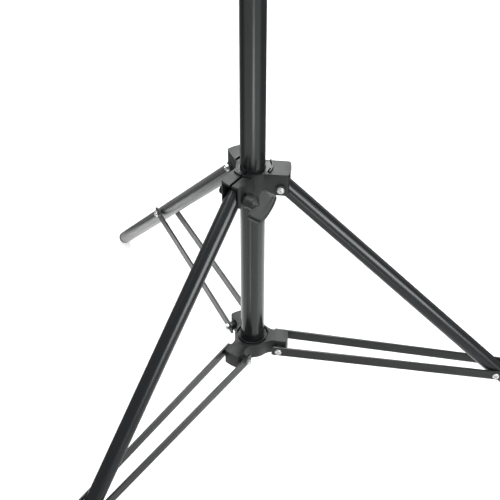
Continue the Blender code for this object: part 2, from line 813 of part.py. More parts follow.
def make_knob(name):
    """A wing knob along Z: its flange is at 0, and its flat wing stands across the top."""
    flange = KNOB_FLANGE_DIAMETER / 2
    hub = KNOB_HUB_DIAMETER / 2
    neck = KNOB_NECK_DIAMETER / 2
    tip = KNOB_TIP_DIAMETER / 2
    knob = turned(
        name,
        [
            (0, KNOB_HUB + WING_DEPTH / 2),
            (tip, KNOB_HUB + WING_DEPTH / 2),
            (neck, KNOB_HUB),
            (hub, KNOB_HUB - KNOB_FLANGE),
            (hub, KNOB_FLANGE),
            (flange, KNOB_FLANGE),
            (flange, 0),
            (0, 0),
        ],
        KNOB_PLASTIC,
    )
    wing = extruded(name + "_wing", wing_outline(), -WING_THICKNESS / 2, WING_THICKNESS / 2)
    wing.rotation_euler.x = math.radians(90)
    soften(wing, WING_ROUND, 2)
    hole = rod(
        name + "_hole",
        CLAMP_BOLT_DIAMETER / 2 + GAP,
        (0, 0, -CUT_OVER),
        (0, 0, KNOB_SCREW_DEPTH),
    )
    add(knob, wing)
    cut(knob, hole)
    return settle(knob)


def make_clamp(parent, knob):
    """The bolt through the split arm, its washer, and the wing knob that draws the arm shut."""
    azimuth = LEG_AZIMUTHS[CLAMP_LEG]
    knob_seat = BOLT_SEAT + GAP + WASHER_THICKNESS + GAP
    length = BOLT_SEAT + GAP + knob_seat + KNOB_SCREW_DEPTH - GAP
    screw = bolt(
        "clamp_bolt",
        length,
        DARK_STEEL,
        CLAMP_BOLT_DIAMETER,
        CLAMP_HEAD_DIAMETER,
        CLAMP_HEAD_HEIGHT,
    )
    lay_across(screw, parent, UPPER_HINGE_RADIUS, azimuth, -BOLT_SEAT - GAP, -1)
    washer = turned(
        "clamp_washer",
        ring_profile(CLAMP_BOLT_DIAMETER / 2 + GAP, WASHER_DIAMETER / 2, 0, WASHER_THICKNESS),
        DARK_STEEL,
    )
    lay_across(settle(washer), parent, UPPER_HINGE_RADIUS, azimuth, BOLT_SEAT + GAP, 1)
    axis = pivot(
        "clamp_knob_axis",
        beside(UPPER_HINGE_RADIUS, knob_seat, azimuth),
        across_rotation(azimuth, 1),
        parent,
    )
    place(knob, axis, rotation=(0, 0, CLAMP_KNOB_TURN))


def make_leg_tube(name, hinge_hole):
    """A leg tube hanging down Z from its hinge, with the hinge's hole and the strut pin's."""
    top = LEG_OVER_HINGE - LEG_PLUG_CAP - GAP
    tube = turned(
        name,
        ring_profile(LEG_RADIUS - LEG_WALL, LEG_RADIUS, FOOT_LENGTH + GAP - LEG_LENGTH, top),
        LEG_BLACK,
    )
    pin_hole = BOLT_DIAMETER / 2 + GAP
    cut(
        tube,
        rod(name + "_hinge_hole", hinge_hole, (0, -LEG_OD, 0), (0, LEG_OD, 0)),
        rod(name + "_pin_hole", pin_hole, (0, -LEG_OD, -LEG_TO_STRUT), (0, LEG_OD, -LEG_TO_STRUT)),
    )
    return settle(tube)


def make_leg_plug(name, hinge_hole):
    """The plug in the top of a leg tube, which the hinge bolt passes through."""
    top = LEG_OVER_HINGE
    stem = LEG_RADIUS - LEG_WALL - GAP
    plug = turned(
        name,
        [
            (0, top),
            (LEG_RADIUS, top),
            (LEG_RADIUS, top - LEG_PLUG_CAP),
            (stem, top - LEG_PLUG_CAP),
            (stem, -LEG_PLUG_STEM),
            (0, -LEG_PLUG_STEM),
        ],
        LINER_PLASTIC,
    )
    cut(plug, rod(name + "_hole", hinge_hole, (0, -LEG_OD, 0), (0, LEG_OD, 0)))
    return settle(plug)


def foot_reach():
    """Height of the centre of the dome's flat base above the floor that the dome touches."""
    along = FOOT_DOME * math.cos(LEG_ANGLE)
    aside = LEG_RADIUS * math.sin(LEG_ANGLE)
    return math.hypot(along, aside)


def make_foot(name):
    """A domed foot that plugs into the tube's end, with a small flat where it meets the floor."""
    base = FOOT_DOME - LEG_LENGTH
    stem = LEG_RADIUS - LEG_WALL - GAP
    shoulder = FOOT_LENGTH - LEG_LENGTH
    turns = [math.radians(90) * k / FOOT_DOME_STEPS for k in range(FOOT_DOME_STEPS)]
    dome = [(LEG_RADIUS * math.cos(a), base - FOOT_DOME * math.sin(a)) for a in turns]
    foot = turned(
        name,
        [(0, shoulder + FOOT_STEM), (stem, shoulder + FOOT_STEM), (stem, shoulder)]
        + [(LEG_RADIUS, shoulder)]
        + dome
        + [(0, -LEG_LENGTH)],
        FOOT_RUBBER,
    )
    floor = box(
        name + "_floor",
        (-LEG_OD, -LEG_OD, -LEG_OD),
        (LEG_OD, LEG_OD, FOOT_FACET - foot_reach()),
    )
    floor.location = (0, 0, base)
    floor.rotation_euler.y = LEG_ANGLE
    cut(foot, floor)
    return settle(foot)


def make_legs(parent):
    """Each leg hangs from its hinge in the sliding collar and carries half of the strut's pivot."""
    half_pin = LEG_RADIUS - GAP
    for leg, azimuth in enumerate(LEG_AZIMUTHS):
        name = LEG_NAMES[leg]
        hinge = pivot(
            "leg_hinge_" + name,
            polar(UPPER_HINGE_RADIUS, azimuth),
            (0, -LEG_ANGLE, azimuth),
            parent,
        )
        hole = bolt_radius(leg) + GAP
        if leg == 1:
            tube = copy_of(tube, "leg_tube_" + name)
            plug = copy_of(plug, "leg_plug_" + name)
        else:
            tube = make_leg_tube("leg_tube_" + name, hole)
            plug = make_leg_plug("leg_plug_" + name, hole)
        if leg == 0:
            foot = make_foot("leg_foot_" + name)
            pin = settle(
                rod(
                    "strut_pin_" + name,
                    BOLT_DIAMETER / 2,
                    (0, -half_pin, -LEG_TO_STRUT),
                    (0, half_pin, -LEG_TO_STRUT),
                    ZINC,
                )
            )
        else:
            foot = copy_of(foot, "leg_foot_" + name)
            pin = copy_of(pin, "strut_pin_" + name)
        for piece in (tube, plug, foot, pin):
            place(piece, hinge)


def bar_outline():
    """A flat bar along +X from its inner hole, with its corners rounded."""
    low, high = -BAR_OVERHANG, STRUT_LENGTH + BAR_OVERHANG
    half = BAR_HEIGHT / 2
    quarter = math.radians(90)
    corners = (
        ((high - BAR_CORNER, BAR_CORNER - half), -quarter),
        ((high - BAR_CORNER, half - BAR_CORNER), 0),
        ((low + BAR_CORNER, half - BAR_CORNER), quarter),
        ((low + BAR_CORNER, BAR_CORNER - half), 2 * quarter),
    )
    outline = []
    for centre, start in corners:
        outline += arc(centre, BAR_CORNER, start, start + quarter)
    return outline


def make_bar(name):
    """A strut bar lying in XZ, so that its holes run along Y."""
    half = BAR_THICKNESS / 2
    bar = extruded(name, bar_outline(), -half, half, BAR_BLACK)
    hole = BOLT_DIAMETER / 2 + GAP
    for end, out in (("inner", 0), ("outer", STRUT_LENGTH)):
        cut(bar, rod(f"{name}_{end}_hole", hole, (out, 0, -CUT_OVER), (out, 0, CUT_OVER)))
    settle(bar)
    bar.data.transform(Matrix.Rotation(math.radians(90), 4, "X"))
    return bar


def pivot_nut(name, reach):
    """A nut along Z with the bolt's end in it, which reaches this far down from the nut's foot."""
    made = hexagon(name)
    add(made, rod(name + "_stub", BOLT_DIAMETER / 2, (0, 0, -reach), (0, 0, NUT_HEIGHT + BOLT_END)))
    return settle(made)


def make_struts():
    """Two bars beside each leg. The pivot at the leg is in three pieces: the bolt's head with a
    stub rides on one bar, its nut with a stub on the other, and the pin between them in the leg."""
    stub_tip = LEG_RADIUS + GAP
    seat = BAR_OUTER_OFFSET + BAR_THICKNESS / 2 + BOLT_HEAD_GAP
    for leg, azimuth in enumerate(LEG_AZIMUTHS):
        name = LEG_NAMES[leg]
        hinge = pivot(
            "strut_hinge_" + name,
            polar(LOWER_HINGE_RADIUS, azimuth, LOWER_HINGE_Z),
            (0, -STRUT_ANGLE, azimuth),
        )
        if leg == 0:
            left = make_bar("strut_bar_left_" + name)
            head = bolt("strut_pivot_head_" + name, seat - stub_tip)
            fixing = pivot_nut("strut_pivot_nut_" + name, seat - stub_tip)
        else:
            left = copy_of(left, "strut_bar_left_" + name)
            head = copy_of(head, "strut_pivot_head_" + name)
            fixing = copy_of(fixing, "strut_pivot_nut_" + name)
        right = copy_of(left, "strut_bar_right_" + name)
        place(left, hinge, (0, BAR_INNER_OFFSET, 0), (0, 0, -BAR_TOE_IN))
        place(right, hinge, (0, -BAR_INNER_OFFSET, 0), (0, 0, BAR_TOE_IN))
        lay_across(head, hinge, STRUT_LENGTH, 0, -seat, -1)
        lay_across(fixing, hinge, STRUT_LENGTH, 0, seat, 1)


def make_lock_collar(name, outer_tube, inner_tube):
    """A collar that sits on the end of one tube and clamps the next one that slides out of it."""
    body = outer_tube / 2 + GAP + LOCK_WALL
    rim = body + LOCK_RIM
    slope = LOCK_RIM
    collar = turned(
        name,
        [
            (rim - LOCK_RIM / 2, LOCK_HEIGHT),
            (rim, LOCK_HEIGHT - LOCK_RIM / 2),
            (rim, LOCK_HEIGHT - LOCK_RIM_HEIGHT),
            (body, LOCK_HEIGHT - LOCK_RIM_HEIGHT - slope),
            (body, LOCK_RIM_HEIGHT + slope),
            (rim, LOCK_RIM_HEIGHT),
            (rim, LOCK_RIM / 2),
            (rim - LOCK_RIM / 2, 0),
            (inner_tube / 2, 0),
            (inner_tube / 2, LOCK_HEIGHT),
        ],
        COLLAR_PLASTIC,
    )
    boss = rod(
        name + "_boss",
        LOCK_BOSS_RADIUS,
        (inner_tube / 2 + LOCK_WALL, 0, LOCK_SCREW_UP),
        (body + LOCK_BOSS_REACH, 0, LOCK_SCREW_UP),
        segments=BOLT_SEGMENTS,
    )
    add(collar, boss)
    cut(
        collar,
        rod(
            name + "_throat",
            inner_tube / 2 + GAP,
            (0, 0, -CUT_OVER),
            (0, 0, LOCK_HEIGHT + CUT_OVER),
            segments=TUBE_SEGMENTS,
        ),
        rod(
            name + "_socket",
            outer_tube / 2 + GAP,
            (0, 0, -CUT_OVER),
            (0, 0, LOCK_SOCKET),
            segments=TUBE_SEGMENTS,
        ),
        rod(
            name + "_screw_hole",
            CLAMP_BOLT_DIAMETER / 2 + GAP,
            (0, 0, LOCK_SCREW_UP),
            (2 * body + LOCK_BOSS_REACH, 0, LOCK_SCREW_UP),
        ),
        rod(
            name + "_shoe_pocket",
            SHOE_DIAMETER / 2 + GAP,
            (0, 0, LOCK_SCREW_UP),
            (inner_tube / 2 + GAP + SHOE_THICKNESS + GAP, 0, LOCK_SCREW_UP),
            segments=BOLT_SEGMENTS,
        ),
    )
    return settle(collar)


def make_shoe(name, inner_tube):
    """The brake shoe that the lock screw presses against the inner tube."""
    face = inner_tube / 2 + GAP
    shoe = rod(
        name,
        SHOE_DIAMETER / 2,
        (face - SHOE_THICKNESS, 0, 0),
        (face + SHOE_THICKNESS, 0, 0),
        SHOE_BRASS,
        segments=BOLT_SEGMENTS,
    )
    cut(
        shoe,
        rod(name + "_face", face, (0, 0, -COLUMN_OD), (0, 0, COLUMN_OD), segments=BORE_SEGMENTS),
    )
    return settle(shoe)


def make_lock(level, base, parent, outer_tube, inner_tube, knob):
    """One lock of the column: collar, brake shoe, screw and wing knob."""
    axis = pivot(f"lock_{level}", (0, 0, base), (0, 0, LOCK_AZIMUTH), parent)
    place(make_lock_collar(f"lock_collar_{level}", outer_tube, inner_tube), axis)
    place(make_shoe(f"brake_shoe_{level}", inner_tube), axis, (0, 0, LOCK_SCREW_UP))
    shoe_back = inner_tube / 2 + GAP + SHOE_THICKNESS + GAP
    boss_end = outer_tube / 2 + GAP + LOCK_WALL + LOCK_BOSS_REACH
    knob_axis = pivot(
        f"lock_knob_axis_{level}",
        (boss_end + GAP, 0, LOCK_SCREW_UP),
        (0, math.radians(90), 0),
        axis,
    )
    screw = rod(
        f"lock_screw_{level}",
        CLAMP_BOLT_DIAMETER / 2,
        (0, 0, shoe_back - boss_end),
        (0, 0, KNOB_SCREW_DEPTH - GAP),
        ZINC,
    )
    place(settle(screw), knob_axis)
    place(copy_of(knob, f"lock_knob_{level}"), knob_axis, rotation=(0, 0, LOCK_KNOB_TURN))


def make_guide(name, outer_tube, inner_tube):
    """The guide at the foot of a section: it plugs into its tube and runs in the next one out."""
    skirt = outer_tube / 2 - TUBE_WALL - GAP
    stem = inner_tube / 2 - TUBE_WALL - GAP
    bore = GUIDE_BORE / 2
    guide = turned(
        name,
        [
            (stem, GUIDE_STEM),
            (stem, -GAP),
            (skirt, -GAP),
            (skirt, -GAP - GUIDE_HEIGHT),
            (bore, -GAP - GUIDE_HEIGHT),
            (bore, GUIDE_STEM),
        ],
        LINER_PLASTIC,
        segments=BOLT_SEGMENTS,
    )
    return settle(guide)


def make_section_tube(name, diameter, base, top):
    outer = diameter / 2
    return turned(name, ring_profile(outer - TUBE_WALL, outer, base, top), COLUMN_BLACK)


def make_middle_section(knob):
    section = pivot("middle_section", (0, 0, MIDDLE_BASE_Z))
    height = MIDDLE_TOP_Z - MIDDLE_BASE_Z
    place(settle(make_section_tube("middle_tube", MIDDLE_OD, 0, height)), section)
    place(make_guide("middle_guide", COLUMN_OD, MIDDLE_OD), section)
    lock_base = LOCK_UPPER_Z - MIDDLE_BASE_Z
    make_lock("upper", lock_base, section, MIDDLE_OD, TOP_OD, knob)


def make_spigot():
    """The round spigot that heads and lamps slip over, on a stem in the top tube."""
    stem = TOP_OD / 2 - TUBE_WALL - GAP
    full = SPIGOT_DIAMETER / 2
    waist = SPIGOT_WAIST_DIAMETER / 2
    slope = full - waist
    base = GAP + SPIGOT_FLANGE
    waist_low = base + SPIGOT_WAIST_UP
    waist_high = waist_low + SPIGOT_WAIST_HEIGHT
    spigot = turned(
        "spigot",
        [
            (0, SPIGOT_TOP),
            (full - SPIGOT_CHAMFER, SPIGOT_TOP),
            (full, SPIGOT_TOP - SPIGOT_CHAMFER),
            (full, waist_high),
            (waist, waist_high - slope),
            (waist, waist_low + slope),
            (full, waist_low),
            (full, base),
            (TOP_OD / 2, base),
            (TOP_OD / 2, GAP),
            (stem, GAP),
            (stem, -SPIGOT_STEM),
            (0, -SPIGOT_STEM),
        ],
        SPIGOT_STEEL,
    )
    stud_hole = rod(
        "spigot_stud_hole",
        STUD_DIAMETER / 2 + GAP,
        (0, 0, SPIGOT_TOP - STUD_SUNK),
        (0, 0, SPIGOT_TOP + CUT_OVER),
    )
    pin_hole = rod(
        "spigot_pin_hole",
        PIN_DIAMETER / 2 + GAP,
        (0, -TOP_OD, -PIN_DOWN),
        (0, TOP_OD, -PIN_DOWN),
    )
    cut(spigot, stud_hole, pin_hole)
    return settle(spigot), pin_hole


def make_top_section():
    section = pivot("top_section", (0, 0, TOP_TUBE_TOP_Z))
    spigot, pin_hole = make_spigot()
    tube = make_section_tube("top_tube", TOP_OD, TOP_BASE_Z - TOP_TUBE_TOP_Z, 0)
    cut(tube, pin_hole)
    half_pin = TOP_OD / 2 - GAP
    pin = rod(
        "spigot_pin",
        PIN_DIAMETER / 2,
        (0, -half_pin, -PIN_DOWN),
        (0, half_pin, -PIN_DOWN),
        ZINC,
    )
    stud_low = SPIGOT_TOP - STUD_SUNK + GAP
    stud_high = SPIGOT_TOP + STUD_SHOWING
    radius = STUD_DIAMETER / 2
    stud = turned(
        "spigot_stud",
        [
            (0, stud_high),
            (radius - STUD_CHAMFER, stud_high),
            (radius, stud_high - STUD_CHAMFER),
            (radius, stud_low),
            (0, stud_low),
        ],
        SPIGOT_STEEL,
        segments=BOLT_SEGMENTS,
    )
    for piece in (spigot, settle(tube), settle(pin), settle(stud)):
        place(piece, section)
    guide = make_guide("top_guide", MIDDLE_OD, TOP_OD)
    place(guide, section, (0, 0, TOP_BASE_Z - TOP_TUBE_TOP_Z))


def make_stand():
    column, plug = make_column()
    settle(plug)
    make_lower_collar()
    make_collar_screw()
    make_strut_bolts()
    slider = pivot("collar_slide", (0, 0, UPPER_HINGE_Z))
    make_sliding_collar(slider)
    make_liner(slider)
    make_leg_bolts(slider)
    knob = make_knob("clamp_knob")
    make_clamp(slider, knob)
    make_legs(slider)
    make_struts()
    make_lock("lower", LOCK_LOWER_Z, None, COLUMN_OD, MIDDLE_OD, knob)
    make_middle_section(knob)
    make_top_section()


make_stand()
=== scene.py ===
"""Looks of the folding tripod stand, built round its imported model. Metres, +Z up."""

import json
import math

import bmesh
import bpy
from mathutils import Matrix, Vector


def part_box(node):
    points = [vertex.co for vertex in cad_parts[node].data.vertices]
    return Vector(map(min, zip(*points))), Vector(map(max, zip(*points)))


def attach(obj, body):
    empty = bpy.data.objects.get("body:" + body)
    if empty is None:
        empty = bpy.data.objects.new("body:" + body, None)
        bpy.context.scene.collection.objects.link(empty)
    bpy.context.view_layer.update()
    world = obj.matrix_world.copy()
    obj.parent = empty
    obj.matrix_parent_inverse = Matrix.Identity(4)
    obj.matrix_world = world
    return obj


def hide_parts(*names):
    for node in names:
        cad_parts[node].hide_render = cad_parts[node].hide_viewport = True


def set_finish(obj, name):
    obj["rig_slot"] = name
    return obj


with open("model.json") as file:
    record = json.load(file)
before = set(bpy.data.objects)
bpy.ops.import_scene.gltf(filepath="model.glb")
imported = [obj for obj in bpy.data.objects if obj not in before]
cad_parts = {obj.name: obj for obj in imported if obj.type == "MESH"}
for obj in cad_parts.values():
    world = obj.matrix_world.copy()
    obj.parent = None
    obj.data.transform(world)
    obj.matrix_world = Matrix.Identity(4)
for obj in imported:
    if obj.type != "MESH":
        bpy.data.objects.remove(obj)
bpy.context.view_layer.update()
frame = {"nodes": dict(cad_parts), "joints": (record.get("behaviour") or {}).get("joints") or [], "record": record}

MM = 0.001

# Clearances and fineness
GAP = 0.3 * MM
HEAD_GAP = 0.25 * MM
CUT_OVER = 5 * MM
TOLERANCE = 0.001 * MM
AXIS_MERGE = 0.005 * MM
SHARP_ANGLE = math.radians(38)
EDGE_ANGLE = math.radians(44)
RIM_ANGLE = math.radians(60)
RIM_STEPS = 2
QUARTER = math.radians(90)
THIRD = math.radians(120)
FINE = 96
MEDIUM = 64
SMALL = 48
ARC_STEP = math.radians(6)
EASE_SHARE = 0.45

# Tubes
COLUMN_OD = 28 * MM
MIDDLE_OD = 24 * MM
TOP_OD = 20 * MM
TUBE_WALL = 1.2 * MM
TUBE_LIP = 0.3 * MM
LEG_OD = 19 * MM
LEG_WALL = 1 * MM
LEG_LENGTH = 682.7 * MM
LEG_OVER_HINGE = 5 * MM
LEG_PLUG_CAP = 1.2 * MM
LEG_PLUG_STEM = 18 * MM
PLUG_EDGE = 0.4 * MM
FOOT_LENGTH = 17 * MM
FOOT_DOME = 7.5 * MM
FOOT_STEM = 16 * MM
FOOT_FACET = 0.6 * MM
FOOT_SEAM = 0.35 * MM
FOOT_STEPS = 14

# Sliding collar and its liner
SLIDER_HUB_RADIUS = 18.6 * MM
SLIDER_TOP = 19.2 * MM
SLIDER_WALL_DROP = 8.9 * MM
SLIDER_SKIRT = 2.6 * MM
SLIDER_PLATE = 2.5 * MM
SLIDER_WALL = 3.1 * MM
SLIDER_REACH = 10.2 * MM
SLIDER_CORNER = 3 * MM
SLIDER_FILLET = 4 * MM
SLIDER_EDGE = 1.1 * MM
SLIDER_RIM = 0.3 * MM
SLIDER_BOSS_RADIUS = 6 * MM
SLIDER_BOSS_HEIGHT = 2 * MM
LEG_SIDE_GAP = 0.5 * MM
CLAMP_SLOT = 3.2 * MM
CLAMP_SLOT_OFFSET = 1.5 * MM
WINDOW_INNER = 18.5 * MM
WINDOW_OUTER = 21.9 * MM
WINDOW_START = math.radians(-29)
WINDOW_END = math.radians(-5)
LINER_WALL = 1.3 * MM
LINER_FLANGE = 0.35 * MM
LINER_SEAT = 0.6 * MM
LINER_TAB_RADIUS = 22.6 * MM
LINER_TAB_HEIGHT = 2.7 * MM
LINER_TAB_WALL = 1.3 * MM
LINER_TAB_START = math.radians(-28)
LINER_TAB_END = math.radians(33)
LINER_LINE = 0.7 * MM
LINER_LINE_START = math.radians(7)
LINER_LINE_END = LINER_TAB_END + 0.1
LINER_SLIT = 2.4 * MM
LINER_EDGE = 0.2 * MM

# Lower collar
LOWER_HUB_RADIUS = 21.5 * MM
LOWER_HEIGHT = 20 * MM
LOWER_HINGE_UP = 8.4 * MM
LOWER_ARM_WIDTH = 18.8 * MM
LOWER_PAD_WIDTH = 20.8 * MM
LOWER_PAD_LENGTH = 14.6 * MM
LOWER_REACH = 10.3 * MM
LOWER_CORNER = 2 * MM
LOWER_FILLET = 16 * MM
LOWER_EDGE = 0.9 * MM
LOWER_RIM = 0.25 * MM
LOWER_POCKET_WALL = 3 * MM
LOWER_POCKET_RIB = 1.8 * MM
LOWER_BOSS_RADIUS = 5.5 * MM
LOWER_BOSS_LENGTH = 4.05 * MM
BOSS_EDGE = 0.4 * MM
LIP_STEP_WIDTH = 1.3 * MM
LIP_STEP_DEPTH = 1.6 * MM
LIP_WALL = 1.3 * MM
GROOVE_WIDTH = 2.5 * MM
GROOVE_DEPTH = 4 * MM

# Strut bars
BAR_HEIGHT = 12.8 * MM
BAR_THICKNESS = 2 * MM
BAR_OVERHANG = 8 * MM
BAR_CORNER = 2.5 * MM
BAR_EDGE = 0.35 * MM
BAR_LEG_GAP = 1.7 * MM

# Fasteners
BOLT_DIAMETER = 4 * MM
THREAD_PITCH = 0.7 * MM
THREAD_DEPTH = 0.3 * MM
THREAD_LENGTH = 6.3 * MM
HEAD_DIAMETER = 8.3 * MM
HEAD_HEIGHT = 2 * MM
HEAD_SIDE = 0.45
HEAD_ROUNDNESS = 0.75
HEAD_STEPS = 6
RECESS_REACH = 4.4 * MM
RECESS_WIDTH = 0.95 * MM
RECESS_DEPTH = 1.3 * MM
RECESS_TAPER = 0.45
NUT_FLATS = 7 * MM
NUT_HEIGHT = 3.2 * MM
NUT_FACE = 6.9 * MM
NUT_SLOPE = 0.6
BOLT_END = 1.8 * MM
BOLT_HOLE = BOLT_DIAMETER / 2 + GAP
CLAMP_BOLT_DIAMETER = 6 * MM
CLAMP_HOLE = CLAMP_BOLT_DIAMETER / 2 + GAP
CLAMP_HEAD_DIAMETER = 11 * MM
CLAMP_HEAD_HEIGHT = 4 * MM
WASHER_DIAMETER = 15 * MM
WASHER_THICKNESS = 1 * MM
WASHER_EDGE = 0.2 * MM

# Wing knobs
KNOB_FLANGE_DIAMETER = 18 * MM
KNOB_FLANGE = 1.6 * MM
KNOB_HUB_DIAMETER = 16 * MM
KNOB_NECK_DIAMETER = 12 * MM
KNOB_TIP_DIAMETER = 6 * MM
KNOB_TIP_RISE = 3 * MM
KNOB_HUB = 12.8 * MM
KNOB_EDGE = 0.7 * MM
WING_DEPTH = 17.4 * MM
WING_CROWN = 2.6 * MM
WING_LENGTH = 36 * MM
WING_CORNER = 3 * MM
WING_THICKNESS = 5.5 * MM
WING_ROUND = 1.3 * MM
WING_ROUND_STEPS = 5
WING_TIP = 3.4 * MM
WING_TIP_THINNING = 0.6
KNOB_SCREW_DEPTH = 17 * MM
CLAMP_KNOB_TURN = math.radians(31.4)
LOCK_KNOB_TURN = QUARTER

# Lock collars, spigot and stud
LOCK_HEIGHT = 50 * MM
LOCK_SOCKET = 28 * MM
LOCK_WALL = 3.4 * MM
LOCK_RIM = 1.4 * MM
LOCK_RIM_HEIGHT = 7 * MM
LOCK_SCREW_UP = 39 * MM
LOCK_BOSS_RADIUS = 8 * MM
LOCK_BOSS_REACH = 11 * MM
LOCK_AZIMUTH = math.radians(300)
LOCK_FLUTES = 30
LOCK_FLUTE_RADIUS = 0.9 * MM
LOCK_FLUTE_OUT = LOCK_FLUTE_RADIUS * 0.4
LOCK_FLUTE_SEGMENTS = 12
LOCK_EDGE = 0.5 * MM
SPIGOT_DIAMETER = 16 * MM
SPIGOT_LENGTH = 38 * MM
SPIGOT_FLANGE = 3 * MM
SPIGOT_STEM = 36 * MM
SPIGOT_WAIST_DIAMETER = 13 * MM
SPIGOT_WAIST_UP = 12 * MM
SPIGOT_WAIST_HEIGHT = 12 * MM
SPIGOT_CHAMFER = 1 * MM
SPIGOT_EDGE = 0.25 * MM
STUD_DIAMETER = 6.2 * MM
STUD_PITCH = 1.27 * MM
STUD_SHOWING = 10 * MM
STUD_SUNK = 9 * MM
STUD_CHAMFER = 0.7 * MM
STUD_THREAD_DEPTH = STUD_CHAMFER * 0.8

# Places, from the frame
LEG_NAMES = ("right", "back", "front")
LEG_AZIMUTHS = tuple(THIRD * k for k in range(3))
LEGS = tuple(zip(LEG_NAMES, LEG_AZIMUTHS))
CLAMP_LEG = 2
CLAMP_AZIMUTH = LEG_AZIMUTHS[CLAMP_LEG]
JOINTS = {joint["name"]: joint for joint in frame["joints"]}
UPPER_HINGE = Vector(JOINTS["leg_hinge_right"]["pos_m"])
LOWER_HINGE = Vector(JOINTS["strut_hinge_right"]["pos_m"])
STRUT_PIN = sum(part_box("strut_pin_right"), Vector()) / 2
FLOOR_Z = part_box("leg_foot_right")[0].z
COLUMN_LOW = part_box("column_tube")[0].z
TOP_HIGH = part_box("top_tube")[1].z
LOCK_BASES = {level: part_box(f"lock_collar_{level}")[0].z for level in ("lower", "upper")}

# Places worked out from the sizes above
COLUMN_RADIUS = COLUMN_OD / 2
LEG_RADIUS = LEG_OD / 2
LINER_INNER = COLUMN_RADIUS + GAP
LINER_OUTER = LINER_INNER + LINER_WALL
SLIDER_HALF_INNER = LEG_RADIUS + LEG_SIDE_GAP
SLIDER_HALF = SLIDER_HALF_INNER + SLIDER_WALL
BOLT_SEAT = SLIDER_HALF + SLIDER_BOSS_HEIGHT
LEG_TO_STRUT = (STRUT_PIN - UPPER_HINGE).length
LEG_ANGLE = math.atan2(STRUT_PIN.x - UPPER_HINGE.x, UPPER_HINGE.z - STRUT_PIN.z)
STRUT_LENGTH = (STRUT_PIN - LOWER_HINGE).length
STRUT_ANGLE = math.atan2(STRUT_PIN.z - LOWER_HINGE.z, STRUT_PIN.x - LOWER_HINGE.x)
BAR_INNER_OFFSET = LOWER_PAD_WIDTH / 2 + LOWER_BOSS_LENGTH + GAP + BAR_THICKNESS / 2
BAR_OUTER_OFFSET = LEG_RADIUS + BAR_LEG_GAP + BAR_THICKNESS / 2
BAR_TOE_IN = math.asin((BAR_INNER_OFFSET - BAR_OUTER_OFFSET) / STRUT_LENGTH)
SPIGOT_TOP = GAP + SPIGOT_FLANGE + SPIGOT_LENGTH


# Materials
SPECULAR_TINT = (0.95, 1, 0.98, 1)


def fill(tree, made, inputs):
    """Gives each named input a value, or links another node's socket to it."""
    for name, value in inputs.items():
        if isinstance(value, bpy.types.NodeSocket):
            tree.links.new(value, made.inputs[name])
        else:
            made.inputs[name].default_value = value


def node(tree, kind, inputs, **settings):
    """The outputs of a new shader node."""
    made = tree.nodes.new("ShaderNode" + kind)
    for name, value in settings.items():
        setattr(made, name, value)
    fill(tree, made, inputs)
    return made.outputs


def blank_material(name, metallic, specular=0.5):
    made = bpy.data.materials.new(name)
    made.use_nodes = True
    shader = made.node_tree.nodes["Principled BSDF"]
    gloss = {"Specular IOR Level": specular, "Specular Tint": SPECULAR_TINT}
    fill(made.node_tree, shader, {"Metallic": metallic, **gloss})
    return made, made.node_tree, shader


def texture(tree, kind, size, stretch=(1, 1, 1), **inputs):
    """A texture in the piece's own coordinates, whose features are this large."""
    place = node(tree, "TexCoord", {})["Object"]
    place = node(tree, "Mapping", {"Vector": place, "Scale": stretch})["Vector"]
    return node(tree, kind, {"Vector": place, "Scale": 1 / size, **inputs})


def noise(tree, size, detail=3, stretch=(1, 1, 1)):
    return texture(tree, "TexNoise", size, stretch, Detail=detail)["Fac"]


def grain(tree, size):
    """Small rounded cells, as on a textured moulding."""
    return texture(tree, "TexVoronoi", size)["Distance"]


def spread(tree, value, low, high, start=0.3, end=0.7):
    """The value's middle range, start to end, mapped to low to high."""
    inputs = {"Value": value, "From Min": start, "From Max": end, "To Min": low, "To Max": high}
    return node(tree, "MapRange", inputs)["Result"]


def tint(tree, value, colour, dark, light):
    """The colour times dark where the value is 0, and times light where it is 1."""
    low, high = ((*(channel * factor for channel in colour), 1) for factor in (dark, light))
    return node(tree, "Mix", {"Factor": value, "A": low, "B": high}, data_type="RGBA")["Result"]


def surface(made, shader, colours, roughness, heights):
    """Sets the colours, the roughness and a chain of bumps from (height, strength, distance)."""
    tree = made.node_tree
    normal = {}
    for height, strength, distance in heights:
        inputs = {"Height": height, "Strength": strength, "Distance": distance, **normal}
        normal = {"Normal": node(tree, "Bump", inputs)["Normal"]}
    fill(tree, shader, {"Base Color": colours, "Roughness": roughness, **normal})
    return made


def painted(name, colour, roughness, peel, specular=0.5):
    """Paint on a drawn tube or bar: slight orange peel, long faint rub marks, uneven sheen."""
    made, tree, shader = blank_material(name, 0, specular)
    rubs = noise(tree, 1.6 * MM, 4, (1, 1, 0.03))
    colours = tint(tree, spread(tree, noise(tree, 40 * MM), 0, 1), colour, 0.85, 1.2)
    sheen = spread(tree, rubs, roughness * 0.85, roughness * 1.25)
    bumps = [(noise(tree, 1.2 * MM, 2), peel, 0.05 * MM), (rubs, peel / 2, 0.02 * MM)]
    return surface(made, shader, colours, sheen, bumps)


def moulded(name, colour, roughness, cell, depth):
    """Spark-textured plastic: a fine grain, flecks in its tone, and a slightly varied sheen."""
    made, tree, shader = blank_material(name, 0)
    specks = noise(tree, cell, 2)
    colours = tint(tree, spread(tree, specks, 0, 1, 0.35, 0.65), colour, 0.7, 1.35)
    sheen = spread(tree, noise(tree, 12 * MM), roughness - 0.04, roughness + 0.05)
    bumps = [(grain(tree, cell), depth, 0.2 * MM), (specks, depth * 0.8, 0.14 * MM)]
    return surface(made, shader, colours, sheen, bumps)


